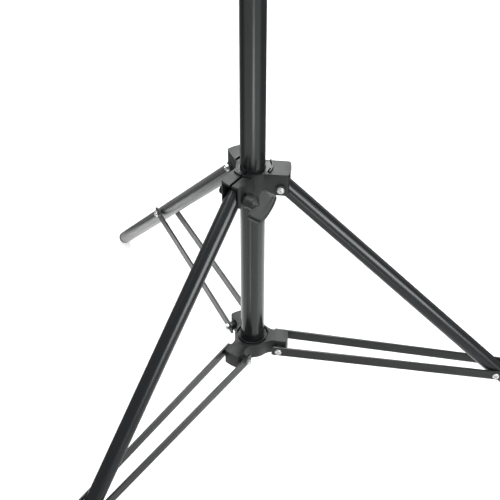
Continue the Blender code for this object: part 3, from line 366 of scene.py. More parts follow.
def plated(name, colour, roughness, turned_lines=0.0, metallic=1.0):
    """Plated or turned metal with fine marks."""
    made, tree, shader = blank_material(name, metallic)
    marks = noise(tree, 0.5 * MM, 4, (1, 1, 0.2))
    colours = tint(tree, spread(tree, noise(tree, 3 * MM), 0, 1), colour, 0.9, 1)
    sheen = spread(tree, marks, roughness * 0.7, roughness * 1.4)
    bumps = [(marks, 0.12, 0.02 * MM)]
    if turned_lines:
        bumps.append((noise(tree, 0.25 * MM, 2, (0.02, 0.02, 1)), turned_lines, 0.02 * MM))
    return surface(made, shader, colours, sheen, bumps)


def soft_rubber(name, colour, roughness):
    """Rubber with dust that lightens it in places."""
    made, tree, shader = blank_material(name, 0, 0.4)
    dust = noise(tree, 3 * MM, 5)
    colours = tint(tree, spread(tree, dust, 0, 1, 0.45, 0.8), colour, 1, 2.2)
    sheen = spread(tree, dust, roughness - 0.05, roughness + 0.12)
    return surface(made, shader, colours, sheen, [(noise(tree, 0.5 * MM), 0.25, 0.06 * MM)])


PLASTIC_GRAIN = (0.39, 1 * MM, 1)
FINISHES = {
    "column_black": painted("column_satin_black", (0.013, 0.014, 0.015), 0.2, 0.15, 0.8),
    "leg_black": painted("leg_gloss_black", (0.006, 0.0065, 0.009), 0.28, 0.04, 0.6),
    "bar_black": painted("bar_satin_black", (0.02,) * 3, 0.34, 0.3),
    "collar_plastic": moulded("collar_plastic_grained", (0.016, 0.0165, 0.0165), *PLASTIC_GRAIN),
    "knob_plastic": moulded("knob_plastic_grained", (0.021, 0.021, 0.022), *PLASTIC_GRAIN),
    "liner_plastic": moulded("liner_plastic_smooth", (0.012,) * 3, 0.32, 0.8 * MM, 0.12),
    "foot_rubber": soft_rubber("foot_rubber_black", (0.012,) * 3, 0.42),
    "zinc": plated("zinc_bright", (0.8, 0.81, 0.82), 0.26, metallic=0.75),
    "dark_steel": plated("steel_blackened", (0.05, 0.05, 0.052), 0.34),
    "shoe_brass": plated("brass_shoe", (0.62, 0.46, 0.18), 0.32),
    "spigot_steel": plated("steel_turned", (0.62, 0.62, 0.63), 0.2, turned_lines=0.25),
}


# Places
def turn_x(angle):
    return Matrix.Rotation(angle, 4, "X")


def turn_y(angle):
    return Matrix.Rotation(angle, 4, "Y")


def turn_z(angle):
    return Matrix.Rotation(angle, 4, "Z")


def shift(x, y, z):
    return Matrix.Translation((x, y, z))


def hinge_frame(hinge, azimuth, tilt=0.0):
    """X outwards along the azimuth and Y along the hinge's axis, tilted about it."""
    return turn_z(azimuth) @ shift(hinge.x, 0, hinge.z) @ turn_y(-tilt)


def across(side, facing):
    """Turns a piece made along Z to lie along Y: facing 1 points to the left."""
    return shift(0, side, 0) @ turn_x(-QUARTER * facing)


def polar(radius, azimuth, height=0.0):
    return Vector((radius * math.cos(azimuth), radius * math.sin(azimuth), height))


# Mesh tools
def new_object(name, data):
    obj = bpy.data.objects.new(name, data)
    bpy.context.scene.collection.objects.link(obj)
    return obj


def object_of(name, bm):
    mesh = bpy.data.meshes.new(name)
    bm.to_mesh(mesh)
    bm.free()
    return new_object(name, mesh)


def box(name, low, high):
    low, high = Vector(low), Vector(high)
    bm = bmesh.new()
    fit = Matrix.Translation((low + high) / 2) @ Matrix.Diagonal((*(high - low), 1))
    bmesh.ops.create_cube(bm, size=1, matrix=fit)
    return object_of(name, bm)


def rod(name, radius, start, end, segments=SMALL):
    """A round bar between two points."""
    start, end = Vector(start), Vector(end)
    half_facet = turn_z(math.pi / segments)
    turn = (end - start).to_track_quat("Z", "Y").to_matrix().to_4x4() @ half_facet
    bm = bmesh.new()
    bmesh.ops.create_cone(
        bm,
        cap_ends=True,
        segments=segments,
        radius1=radius,
        radius2=radius,
        depth=(end - start).length,
        matrix=Matrix.Translation((start + end) / 2) @ turn,
    )
    return object_of(name, bm)


def upright(name, radius, low, high, segments=SMALL):
    return rod(name, radius, (0, 0, low), (0, 0, high), segments)


def eased(points, radius, closed, steps=3):
    """A profile whose corners are rounded, each by no more than its shorter side allows."""
    points = [Vector(point) for point in points]
    rounded = []
    for k, corner in enumerate(points):
        if not closed and k in (0, len(points) - 1):
            rounded.append(tuple(corner))
            continue
        before = points[k - 1] - corner
        after = points[(k + 1) % len(points)] - corner
        reach = min(radius, before.length * EASE_SHARE, after.length * EASE_SHARE)
        first, last = corner + before.normalized() * reach, corner + after.normalized() * reach
        for step in range(steps + 1):
            share = step / steps
            near = first.lerp(corner, share)
            far = corner.lerp(last, share)
            rounded.append(tuple(near.lerp(far, share)))
    return rounded


def turned(name, profile, segments=FINE, ease=0.0):
    """A solid turned about Z from (radius, height) points that run down its outer side."""
    closed = profile[0][0] > 0
    if ease:
        profile = eased(profile, ease, closed)
    bm = bmesh.new()
    points = [bm.verts.new((radius, 0, height)) for radius, height in profile]
    for first, second in zip(points, points[1:]):
        bm.edges.new((first, second))
    if closed:
        bm.edges.new((points[-1], points[0]))
    obj = object_of(name, bm)
    screw = obj.modifiers.new("turn", "SCREW")
    screw.steps = screw.render_steps = segments
    screw.use_merge_vertices = True
    screw.merge_threshold = AXIS_MERGE
    return apply_modifiers(obj)


def rod_profile(radius, low, high):
    return [(0, high), (radius, high), (radius, low), (0, low)]


def ring_profile(inner, outer, low, high):
    return [(outer, high), (outer, low), (inner, low), (inner, high)]


def extruded(name, outline, low, high):
    """A flat outline in XY, drawn counter-clockwise, as a solid from one height to another."""
    curve = bpy.data.curves.new(name, "CURVE")
    curve.dimensions = "2D"
    curve.fill_mode = "BOTH"
    curve.extrude = (high - low) / 2
    spline = curve.splines.new("POLY")
    spline.points.add(len(outline) - 1)
    for point, (x, y) in zip(spline.points, outline):
        point.co = (x, y, 0, 1)
    spline.use_cyclic_u = True
    drawn = new_object(name + "_outline", curve)
    graph = bpy.context.evaluated_depsgraph_get()
    mesh = bpy.data.meshes.new_from_object(drawn.evaluated_get(graph))
    bpy.data.objects.remove(drawn)
    bm = bmesh.new()
    bm.from_mesh(mesh)
    bpy.data.meshes.remove(mesh)
    bmesh.ops.remove_doubles(bm, verts=bm.verts, dist=TOLERANCE)
    bmesh.ops.translate(bm, verts=bm.verts, vec=(0, 0, (high + low) / 2))
    return object_of(name, bm)


def arc(centre, radius, start, end):
    steps = max(1, math.ceil(abs(end - start) / ARC_STEP))
    angles = [start + (end - start) * k / steps for k in range(steps + 1)]
    return [(centre[0] + radius * math.cos(a), centre[1] + radius * math.sin(a)) for a in angles]


def soften(piece, width, segments=3, angle=EDGE_ANGLE):
    bevel = piece.modifiers.new("edges", "BEVEL")
    bevel.width = width
    bevel.segments = segments
    bevel.limit_method = "ANGLE"
    bevel.angle_limit = angle
    bevel.miter_outer = "MITER_ARC"
    return apply_modifiers(piece)


def combine(piece, operation, *others):
    """Adds the others to a piece, cuts them from it, or keeps what they share."""
    for other in others:
        join = piece.modifiers.new(operation.lower(), "BOOLEAN")
        join.operation = operation
        join.solver = "EXACT"
        join.object = other
    return apply_modifiers(piece)


def apply_modifiers(piece):
    """Applies the modifiers of a piece and removes the helpers that its Booleans used."""
    bpy.context.view_layer.update()
    graph = bpy.context.evaluated_depsgraph_get()
    mesh = bpy.data.meshes.new_from_object(piece.evaluated_get(graph))
    helpers = [m.object for m in piece.modifiers if m.type == "BOOLEAN"]
    piece.modifiers.clear()
    piece.data = mesh
    for helper in set(helpers):
        bpy.data.objects.remove(helper)
    return piece


def add(piece, *others):
    return combine(piece, "UNION", *others)


def cut(piece, *others):
    return combine(piece, "DIFFERENCE", *others)


def finished(piece, slot):
    """The piece with its round faces smooth, and its finish."""
    piece.data.shade_smooth()
    piece.data.set_sharp_from_angle(angle=SHARP_ANGLE)
    piece.data.materials.clear()
    piece.data.materials.append(FINISHES[slot])
    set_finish(piece, slot)
    return piece


def copy_of(piece, name):
    made = new_object(name, piece.data)
    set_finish(made, piece["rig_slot"])
    return made


def per_leg(first, legs=LEG_NAMES):
    """The right leg's piece, and a copy of it for each other leg, named after it."""
    base = first.name.removesuffix("right")
    return [first] + [copy_of(first, base + name) for name in legs[1:]]


def put(piece, body, matrix, *nodes):
    """Places a finished piece, ties it to its body, and hides the solid that it stands for."""
    piece.matrix_world = matrix
    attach(piece, body)
    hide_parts(*nodes)


# Outlines of the collars
def arm_side(hub, half, reach, corner, fillet, pad_half, pad_length):
    """One side of an arm along +X, from the hub's circle to the middle of the arm's round end."""
    centre_out = math.sqrt((hub + fillet) ** 2 - (half + fillet) ** 2)
    turn = math.atan2(half + fillet, centre_out)
    points = arc((centre_out, -half - fillet), fillet, math.pi - turn, math.pi / 2)
    if pad_length:
        start = reach - pad_length
        points += [(start, -half), (start + pad_half - half, -pad_half)]
    corner_out = math.sqrt((reach - corner) ** 2 - (pad_half - corner) ** 2)
    corner_turn = math.atan2(corner - pad_half, corner_out)
    points += arc((corner_out, corner - pad_half), corner, -math.pi / 2, corner_turn)
    return points + arc((0, 0), reach, corner_turn, 0)[1:]


def three_arm_outline(hub, half, reach, corner, fillet, pad_half=None, pad_length=0.0):
    side = arm_side(hub, half, reach, corner, fillet, pad_half or half, pad_length)
    arm = side + [(x, -y) for x, y in reversed(side[:-1])]
    outline = []
    for azimuth in LEG_AZIMUTHS:
        cosine, sine = math.cos(azimuth), math.sin(azimuth)
        outline += [(x * cosine - y * sine, x * sine + y * cosine) for x, y in arm]
        first = math.atan2(arm[-1][1], arm[-1][0]) + azimuth
        last = azimuth + THIRD - (first - azimuth)
        outline += arc((0, 0), hub, first, last)[1:-1]
    return outline


def sector(name, azimuth, inner, outer, start, end, low, high):
    """A piece of a ring, from one angle to another past an azimuth."""
    start, end = azimuth + start, azimuth + end
    outline = arc((0, 0), outer, start, end) + arc((0, 0), inner, end, start)
    return extruded(name, outline, low, high)


def cross_rod(name, radius, out, azimuth, half):
    """A round bar across an arm."""
    way = polar(1, azimuth + math.pi / 2) * half
    base = polar(out, azimuth)
    return rod(name, radius, base - way, base + way)


def bosses(part, radius, out, half):
    """Bosses that stand out of both sides of each arm, with their rims rounded."""
    made = []
    for name, azimuth in LEGS:
        profile = rod_profile(radius, -half, half)
        boss = turned(f"{part}_boss_{name}", profile, SMALL, BOSS_EDGE)
        boss.data.transform(turn_z(azimuth) @ shift(out, 0, 0) @ turn_x(QUARTER))
        made.append(boss)
    return made


def turned_box(name, azimuth, out, side, height):
    made = box(name, (out[0], side[0], height[0]), (out[1], side[1], height[1]))
    made.data.transform(turn_z(azimuth))
    return made


# Fasteners
def thread_profile(radius, start, end, pitch, depth):
    """Ridges down a shank from start to end, as (radius, height) points."""
    points = []
    for k in range(int((start - end) / pitch)):
        crest = start - pitch * k
        points += [(radius, crest), (radius - depth, crest - pitch / 2)]
    return points


def pan_head(radius, height):
    """The rounded section of a pan head that stands on height 0, from its crown to its rim."""
    side = HEAD_SIDE * height
    dome = []
    for k in range(HEAD_STEPS + 1):
        turn = QUARTER * k / HEAD_STEPS
        out = radius * math.sin(turn) ** HEAD_ROUNDNESS
        dome.append((out, side + (height - side) * math.cos(turn)))
    return dome + [(radius, 0)]


def cross_recess(name, height):
    """Two crossed blades, narrower below, that cut the recess of a pan head."""
    blades = []
    reach, width = RECESS_REACH / 2, RECESS_WIDTH / 2
    for k in range(2):
        low, high = (-reach, -width, height - RECESS_DEPTH), (reach, width, height + CUT_OVER)
        blade = box(f"{name}_{k}", low, high)
        for vertex in blade.data.vertices:
            if vertex.co.z < height:
                vertex.co.x *= RECESS_TAPER
        blade.data.transform(turn_z(QUARTER * k))
        blades.append(blade)
    return blades


def pan_bolt(name, length, threaded=True):
    """A pan-head bolt along Z with a cross recess: head above 0, shank below."""
    radius = BOLT_DIAMETER / 2
    start = min(0, THREAD_LENGTH - length)
    profile = pan_head(HEAD_DIAMETER / 2, HEAD_HEIGHT) + [(radius, 0)]
    if threaded:
        profile += thread_profile(radius, start - GAP, -length + GAP, THREAD_PITCH, THREAD_DEPTH)
    profile += [(radius - THREAD_DEPTH, -length), (0, -length)]
    made = turned(name, profile, SMALL)
    return finished(cut(made, *cross_recess(name + "_recess", HEAD_HEIGHT)), "zinc")


def hexagon(name):
    """A hexagon nut along Z from 0 upwards, with both faces' corners turned off."""
    corner = NUT_FLATS / math.cos(math.radians(30)) / 2
    face = NUT_FACE / 2
    drop = (corner - face) * NUT_SLOPE
    wide = corner + drop
    profile = [(0, NUT_HEIGHT), (face, NUT_HEIGHT), (wide, NUT_HEIGHT - drop * 2)]
    profile += [(wide, drop * 2), (face, 0), (0, 0)]
    rounder = turned(name + "_rounder", profile)
    return combine(upright(name, corner, 0, NUT_HEIGHT, 6), "INTERSECT", rounder)


def nut(name):
    hole = upright(name + "_hole", BOLT_HOLE, -CUT_OVER, NUT_HEIGHT + CUT_OVER)
    return finished(cut(hexagon(name), hole), "zinc")


def pivot_nut(name, reach):
    """A nut with the bolt's threaded end through it and its stub below."""
    radius = BOLT_DIAMETER / 2
    top = NUT_HEIGHT + BOLT_END
    profile = [(0, top), (radius - THREAD_DEPTH, top)]
    profile += thread_profile(radius, top - GAP, NUT_HEIGHT, THREAD_PITCH, THREAD_DEPTH)
    profile += [(radius, NUT_HEIGHT - GAP), (radius, -reach), (0, -reach)]
    stub = turned(name + "_stub", profile, SMALL)
    return finished(add(hexagon(name), stub), "zinc")


# Pieces
def dress_tubes():
    sections = (
        ("column_tube", "root", COLUMN_OD),
        ("middle_tube", "middle", MIDDLE_OD),
        ("top_tube", "top", TOP_OD),
    )
    for name, body, diameter in sections:
        low, high = (corner.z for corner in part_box(name))
        profile = ring_profile(diameter / 2 - TUBE_WALL, diameter / 2, low, high)
        tube = turned(name + "_painted", profile, FINE, TUBE_LIP)
        put(finished(tube, "column_black"), body, Matrix.Identity(4), name)


def dress_end_plug():
    low, high = (corner.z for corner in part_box("column_end_plug"))
    stem = COLUMN_RADIUS - TUBE_WALL - GAP
    hollow = stem - 2 * TUBE_WALL
    top = COLUMN_LOW - GAP
    profile = [(stem - TUBE_WALL, high), (stem, high - TUBE_WALL), (stem, top)]
    profile += [(COLUMN_RADIUS, top), (COLUMN_RADIUS, low), (0, low)]
    profile += [(0, top), (hollow, top), (hollow, high)]
    plug = turned("column_end_plug_moulded", profile, FINE, PLUG_EDGE)
    put(finished(plug, "liner_plastic"), "root", Matrix.Identity(4), "column_end_plug")


def dress_lower_collar():
    half_pad = LOWER_PAD_WIDTH / 2
    arm = (LOWER_HUB_RADIUS, LOWER_ARM_WIDTH / 2, LOWER_HINGE.x + LOWER_REACH)
    low, high = -LOWER_HINGE_UP, LOWER_HEIGHT - LOWER_HINGE_UP
    outline = three_arm_outline(*arm, LOWER_CORNER, LOWER_FILLET, half_pad, LOWER_PAD_LENGTH)
    collar = soften(extruded("lower_collar_moulded", outline, low, high), LOWER_EDGE)
    boss_end = half_pad + LOWER_BOSS_LENGTH
    add(collar, *bosses("lower", LOWER_BOSS_RADIUS, LOWER_HINGE.x, boss_end))
    cut(collar, *lower_cutters(half_pad, arm[-1], low, high, boss_end))
    soften(collar, LOWER_RIM, RIM_STEPS, RIM_ANGLE)
    matrix = shift(0, 0, LOWER_HINGE.z)
    put(finished(collar, "collar_plastic"), "root", matrix, "lower_collar")
    seat = LOWER_HUB_RADIUS + HEAD_GAP
    screw = pan_bolt("lower_collar_screw_plated", seat - (COLUMN_RADIUS - TUBE_WALL))
    matrix = turn_z(THIRD / 2) @ shift(seat, 0, LOWER_HINGE.z) @ turn_y(QUARTER)
    put(screw, "root", matrix, "lower_collar_screw")


def lower_cutters(half_pad, reach, low, high, boss_end):
    """Pockets below the arms, bolt holes, the column's bore, and the recess round the column."""
    cutters = []
    side = half_pad - LOWER_POCKET_WALL
    inner, outer = LOWER_HUB_RADIUS + LOWER_POCKET_WALL, reach - LOWER_POCKET_WALL
    middle, rib = (inner + outer) / 2, LOWER_POCKET_RIB / 2
    heights = (low - CUT_OVER, high - LOWER_POCKET_WALL)
    for name, azimuth in LEGS:
        for half, span in (("in", (inner, middle - rib)), ("out", (middle + rib, outer))):
            label = f"lower_pocket_{name}_{half}"
            cutters.append(turned_box(label, azimuth, span, (-side, side), heights))
        label = f"lower_hole_{name}"
        cutters.append(cross_rod(label, BOLT_HOLE, LOWER_HINGE.x, azimuth, 2 * boss_end))
    bore = COLUMN_RADIUS + GAP
    step = bore + LIP_STEP_WIDTH
    lip = step + LIP_WALL
    over = high + CUT_OVER
    cutters.append(upright("lower_bore", bore, low - CUT_OVER, over, FINE))
    cutters.append(upright("lower_step", step, high - LIP_STEP_DEPTH, over, FINE))
    groove = ring_profile(lip, lip + GROOVE_WIDTH, high - GROOVE_DEPTH, over)
    return cutters + [turned("lower_groove", groove)]


def dress_bolts(part, body, hinge, seat, legs=LEG_NAMES):
    """The bolts and nuts across the arms at a hinge."""
    bolts = per_leg(pan_bolt(part + "_bolt_plated_right", 2 * seat + NUT_HEIGHT + BOLT_END), legs)
    nuts = per_leg(nut(part + "_nut_plated_right"), legs)
    for name, azimuth, bolt, fixing in zip(legs, LEG_AZIMUTHS, bolts, nuts):
        place = hinge_frame(hinge, azimuth)
        put(bolt, body, place @ across(-seat, -1), f"{part}_bolt_{name}")
        put(fixing, body, place @ across(seat, 1), f"{part}_nut_{name}")


def dress_sliding_collar():
    reach = UPPER_HINGE.x + SLIDER_REACH
    low = -SLIDER_WALL_DROP
    arm = (SLIDER_HUB_RADIUS, SLIDER_HALF, reach, SLIDER_CORNER, SLIDER_FILLET)
    collar = extruded("sliding_collar_moulded", three_arm_outline(*arm), low, SLIDER_TOP)
    soften(collar, SLIDER_EDGE)
    skirt = ring_profile(LINER_OUTER, SLIDER_HUB_RADIUS - GAP, low - SLIDER_SKIRT, 0)
    raised = bosses("slider", SLIDER_BOSS_RADIUS, UPPER_HINGE.x, BOLT_SEAT)
    add(collar, turned("slider_skirt", skirt), *raised)
    cut(collar, *slider_cutters(reach, low))
    soften(collar, SLIDER_RIM, RIM_STEPS, RIM_ANGLE)
    put(finished(collar, "collar_plastic"), "slider", shift(0, 0, UPPER_HINGE.z), "sliding_collar")


def slider_cutters(reach, low):
    """Channels for the legs, windows, seats for the liner's tabs, holes, the slot and the bore."""
    over = SLIDER_TOP + CUT_OVER
    sides = (-SLIDER_HALF_INNER, SLIDER_HALF_INNER)
    heights = (2 * low, SLIDER_TOP - SLIDER_PLATE)
    window = (WINDOW_INNER, WINDOW_OUTER, WINDOW_START, WINDOW_END)
    seat = (LINER_INNER, LINER_TAB_RADIUS + GAP, LINER_TAB_START, LINER_TAB_END)
    cutters = []
    for leg, (name, azimuth) in enumerate(LEGS):
        span = (SLIDER_HUB_RADIUS, 2 * reach)
        hole = CLAMP_HOLE if leg == CLAMP_LEG else BOLT_HOLE
        cutters += [
            turned_box(f"slider_channel_{name}", azimuth, span, sides, heights),
            sector(f"slider_window_{name}", azimuth, *window, SLIDER_TOP - 2 * SLIDER_PLATE, over),
            sector(f"slider_seat_{name}", azimuth, *seat, SLIDER_TOP - LINER_SEAT, over),
            cross_rod(f"slider_hole_{name}", hole, UPPER_HINGE.x, azimuth, 2 * BOLT_SEAT),
        ]
    cutters.append(clamp_gap("clamp_slot", 2 * reach, CLAMP_SLOT, 2 * low, over))
    bore = LINER_OUTER + GAP
    return cutters + [upright("slider_bore", bore, low - SLIDER_SKIRT - CUT_OVER, over, FINE)]


def clamp_gap(name, reach, width, low, high):
    """The gap that splits the collar, and its liner, under the clamp."""
    sides = (CLAMP_SLOT_OFFSET - width / 2, CLAMP_SLOT_OFFSET + width / 2)
    return turned_box(name, CLAMP_AZIMUTH, (0, reach), sides, (low, high))


def dress_liner():
    low = -SLIDER_WALL_DROP - SLIDER_SKIRT
    rest = SLIDER_TOP - LINER_SEAT + GAP
    flange, tab = rest + LINER_FLANGE, rest + LINER_TAB_HEIGHT
    tab_outer = LINER_TAB_RADIUS
    tab_inner = tab_outer - LINER_TAB_WALL
    profile = [(tab_outer, tab), (tab_outer, rest), (LINER_OUTER, rest), (LINER_OUTER, low)]
    profile += [(LINER_INNER, low), (LINER_INNER, flange), (tab_inner, flange), (tab_inner, tab)]
    liner = turned("collar_liner_moulded", profile, FINE, LINER_EDGE)
    spans = (
        ("space", LINER_INNER - CUT_OVER, 2 * tab_outer, LINER_TAB_END, LINER_TAB_START + THIRD),
        ("window", WINDOW_INNER, tab_inner, WINDOW_START, WINDOW_END),
        ("line", tab_inner - LINER_LINE, tab_inner, LINER_LINE_START, LINER_LINE_END),
    )
    over = tab + CUT_OVER
    cutters = []
    for name, azimuth in LEGS:
        for part, *span in spans:
            cutters.append(sector(f"liner_{part}_{name}", azimuth, *span, rest - GAP, over))
    cutters.append(clamp_gap("liner_slit", COLUMN_OD, LINER_SLIT, low - CUT_OVER, over))
    cut(liner, *cutters)
    put(finished(liner, "liner_plastic"), "slider", shift(0, 0, UPPER_HINGE.z), "collar_liner")


def wing_outline():
    """The wing from its broad side, X along it and Y away from the flange, with a crowned end."""
    half = WING_LENGTH / 2
    foot = KNOB_HUB - KNOB_FLANGE
    radius = (half**2 + WING_CROWN**2) / (2 * WING_CROWN)
    centre = KNOB_HUB + WING_DEPTH - radius
    across = half - WING_CORNER
    rise = math.sqrt((radius - WING_CORNER) ** 2 - across**2)
    start = math.atan2(rise, across)
    corner = arc((across, centre + rise), WING_CORNER, 0, start)
    crown = arc((0, centre), radius, start, math.pi - start)[1:-1]
    side = [(half, foot)] + corner
    return side + crown + [(-x, y) for x, y in reversed(side)]


def slope_tips(wing):
    """Slopes both broad faces of the wing down towards its two ends."""
    start = WING_LENGTH / 2 - WING_TIP
    bm = bmesh.new()
    bm.from_mesh(wing.data)
    for place in (-start, start):
        everything = bm.verts[:] + bm.edges[:] + bm.faces[:]
        bmesh.ops.bisect_plane(bm, geom=everything, plane_co=(place, 0, 0), plane_no=(1, 0, 0))
    for vert in bm.verts:
        beyond = max(0, abs(vert.co.x) - start) / WING_TIP
        vert.co.z *= 1 - beyond * WING_TIP_THINNING
    bm.to_mesh(wing.data)
    bm.free()


def sharpen_tips(knob):
    start = WING_LENGTH / 2 - WING_TIP
    points = knob.data.vertices
    for edge in knob.data.edges:
        if all(abs(abs(points[end].co.x) - start) < TOLERANCE for end in edge.vertices):
            edge.use_edge_sharp = True


def make_knob(name):
    """A wing knob along Z: its flange is at 0, and its flat wing stands across the top."""
    flange, hub = KNOB_FLANGE_DIAMETER / 2, KNOB_HUB_DIAMETER / 2
    tip = KNOB_HUB + KNOB_TIP_RISE
    profile = [(0, tip), (KNOB_TIP_DIAMETER / 2, tip), (KNOB_NECK_DIAMETER / 2, KNOB_HUB)]
    profile += [(hub, KNOB_HUB - KNOB_FLANGE), (hub, KNOB_FLANGE), (flange, KNOB_FLANGE)]
    knob = turned(name, profile + [(flange, 0), (0, 0)], FINE, KNOB_EDGE)
    wing = extruded(name + "_wing", wing_outline(), -WING_THICKNESS / 2, WING_THICKNESS / 2)
    soften(wing, WING_ROUND, WING_ROUND_STEPS)
    slope_tips(wing)
    wing.data.transform(turn_x(QUARTER))
    add(knob, wing)
    hole = upright(name + "_hole", CLAMP_HOLE, -CUT_OVER, KNOB_SCREW_DEPTH)
    finished(cut(knob, hole), "knob_plastic")
    sharpen_tips(knob)
    return knob


def dress_clamp(knob):
    place = hinge_frame(UPPER_HINGE, CLAMP_AZIMUTH)
    head_seat = BOLT_SEAT + GAP
    knob_seat = head_seat + WASHER_THICKNESS + GAP
    length = head_seat + knob_seat + KNOB_SCREW_DEPTH - GAP
    radius = CLAMP_BOLT_DIAMETER / 2
    profile = pan_head(CLAMP_HEAD_DIAMETER / 2, CLAMP_HEAD_HEIGHT)
    profile += [(radius, 0), (radius, -length), (0, -length)]
    bolt = turned("clamp_bolt_blackened", profile, SMALL)
    put(finished(bolt, "dark_steel"), "slider", place @ across(-head_seat, -1), "clamp_bolt")
    profile = ring_profile(radius + GAP, WASHER_DIAMETER / 2, 0, WASHER_THICKNESS)
    washer = turned("clamp_washer_blackened", profile, MEDIUM, WASHER_EDGE)
    put(finished(washer, "dark_steel"), "slider", place @ across(head_seat, 1), "clamp_washer")
    put(knob, "clamp_knob", place @ across(knob_seat, 1) @ turn_z(CLAMP_KNOB_TURN), "clamp_knob")


def leg_hole(name, radius, drop=0):
    return rod(name, radius, (0, -LEG_OD, -drop), (0, LEG_OD, -drop))


def leg_tube(name, hole):
    low = FOOT_LENGTH + GAP - LEG_LENGTH
    top = LEG_OVER_HINGE - LEG_PLUG_CAP - GAP
    tube = turned(name, ring_profile(LEG_RADIUS - LEG_WALL, LEG_RADIUS, low, top), FINE, TUBE_LIP)
    pin = leg_hole(name + "_pin", BOLT_HOLE, LEG_TO_STRUT)
    cut(tube, leg_hole(name + "_hinge", hole), pin)
    return finished(tube, "leg_black")


def leg_plug(name, hole):
    stem = LEG_RADIUS - LEG_WALL - GAP
    cap = LEG_OVER_HINGE - LEG_PLUG_CAP
    profile = [(0, LEG_OVER_HINGE), (LEG_RADIUS, LEG_OVER_HINGE), (LEG_RADIUS, cap)]
    profile += [(stem, cap), (stem, -LEG_PLUG_STEM), (0, -LEG_PLUG_STEM)]
    plug = turned(name, profile, FINE, PLUG_EDGE)
    return finished(cut(plug, leg_hole(name + "_hole", hole)), "liner_plastic")


def foot(name):
    """A domed foot with a small rolled shoulder at the tube and a flat where it stands."""
    base = FOOT_DOME - LEG_LENGTH
    shoulder = FOOT_LENGTH - LEG_LENGTH
    stem = LEG_RADIUS - LEG_WALL - GAP
    profile = [(0, shoulder + FOOT_STEM), (stem, shoulder + FOOT_STEM), (stem, shoulder)]
    profile += [(LEG_RADIUS - FOOT_SEAM, shoulder), (LEG_RADIUS, shoulder - FOOT_SEAM)]
    for k in range(FOOT_STEPS):
        turn = QUARTER * k / FOOT_STEPS
        profile.append((LEG_RADIUS * math.cos(turn), base - FOOT_DOME * math.sin(turn)))
    made = turned(name, profile + [(0, -LEG_LENGTH)])
    contact = math.hypot(FOOT_DOME * math.cos(LEG_ANGLE), LEG_RADIUS * math.sin(LEG_ANGLE))
    floor = box(name + "_floor", (-LEG_OD,) * 3, (LEG_OD, LEG_OD, FOOT_FACET - contact))
    floor.data.transform(shift(0, 0, base) @ turn_y(LEG_ANGLE))
    return finished(cut(made, floor), "foot_rubber")


def dress_legs():
    plain = LEG_NAMES[:CLAMP_LEG]
    tubes = per_leg(leg_tube("leg_tube_painted_right", BOLT_HOLE), plain)
    tubes.append(leg_tube("leg_tube_painted_front", CLAMP_HOLE))
    plugs = per_leg(leg_plug("leg_plug_moulded_right", BOLT_HOLE), plain)
    plugs.append(leg_plug("leg_plug_moulded_front", CLAMP_HOLE))
    feet = per_leg(foot("leg_foot_rubber_right"))
    for (name, azimuth), *pieces in zip(LEGS, tubes, plugs, feet):
        place = hinge_frame(UPPER_HINGE, azimuth, LEG_ANGLE)
        for part, piece in zip(("tube", "plug", "foot"), pieces):
            put(piece, "leg_" + name, place, f"leg_{part}_{name}")


def bar_outline():
    low, high = -BAR_OVERHANG, STRUT_LENGTH + BAR_OVERHANG
    left, right, side = low + BAR_CORNER, high - BAR_CORNER, BAR_HEIGHT / 2 - BAR_CORNER
    outline = []
    for k, centre in enumerate(((right, -side), (right, side), (left, side), (left, -side))):
        outline += arc(centre, BAR_CORNER, QUARTER * (k - 1), QUARTER * k)
    return outline


def strut_bar(name):
    """A strut bar lying in XZ with rolled edges, so that its holes run along Y."""
    half = BAR_THICKNESS / 2
    bar = soften(extruded(name, bar_outline(), -half, half), BAR_EDGE)
    holes = [
        rod(f"{name}_{end}", BOLT_HOLE, (out, 0, -CUT_OVER), (out, 0, CUT_OVER))
        for end, out in (("inner", 0), ("outer", STRUT_LENGTH))
    ]
    cut(bar, *holes)
    bar.data.transform(turn_x(QUARTER))
    return finished(bar, "bar_black")


def dress_struts():
    seat = BAR_OUTER_OFFSET + BAR_THICKNESS / 2 + HEAD_GAP
    stub = seat - (LEG_RADIUS + GAP)
    left = per_leg(strut_bar("strut_bar_painted_left_right"))
    right = [copy_of(bar, bar.name.replace("left_", "right_")) for bar in left]
    heads = per_leg(pan_bolt("strut_pivot_head_plated_right", stub, threaded=False))
    nuts = per_leg(pivot_nut("strut_pivot_nut_plated_right", stub))
    outer = shift(STRUT_LENGTH, 0, 0)
    parts = (
        ("bar_left", left, shift(0, BAR_INNER_OFFSET, 0) @ turn_z(-BAR_TOE_IN)),
        ("bar_right", right, shift(0, -BAR_INNER_OFFSET, 0) @ turn_z(BAR_TOE_IN)),
        ("pivot_head", heads, outer @ across(-seat, -1)),
        ("pivot_nut", nuts, outer @ across(seat, 1)),
    )
    for leg, (name, azimuth) in enumerate(LEGS):
        place = hinge_frame(LOWER_HINGE, azimuth, STRUT_ANGLE)
        for part, pieces, spot in parts:
            put(pieces[leg], "strut_" + name, place @ spot, f"strut_{part}_{name}")


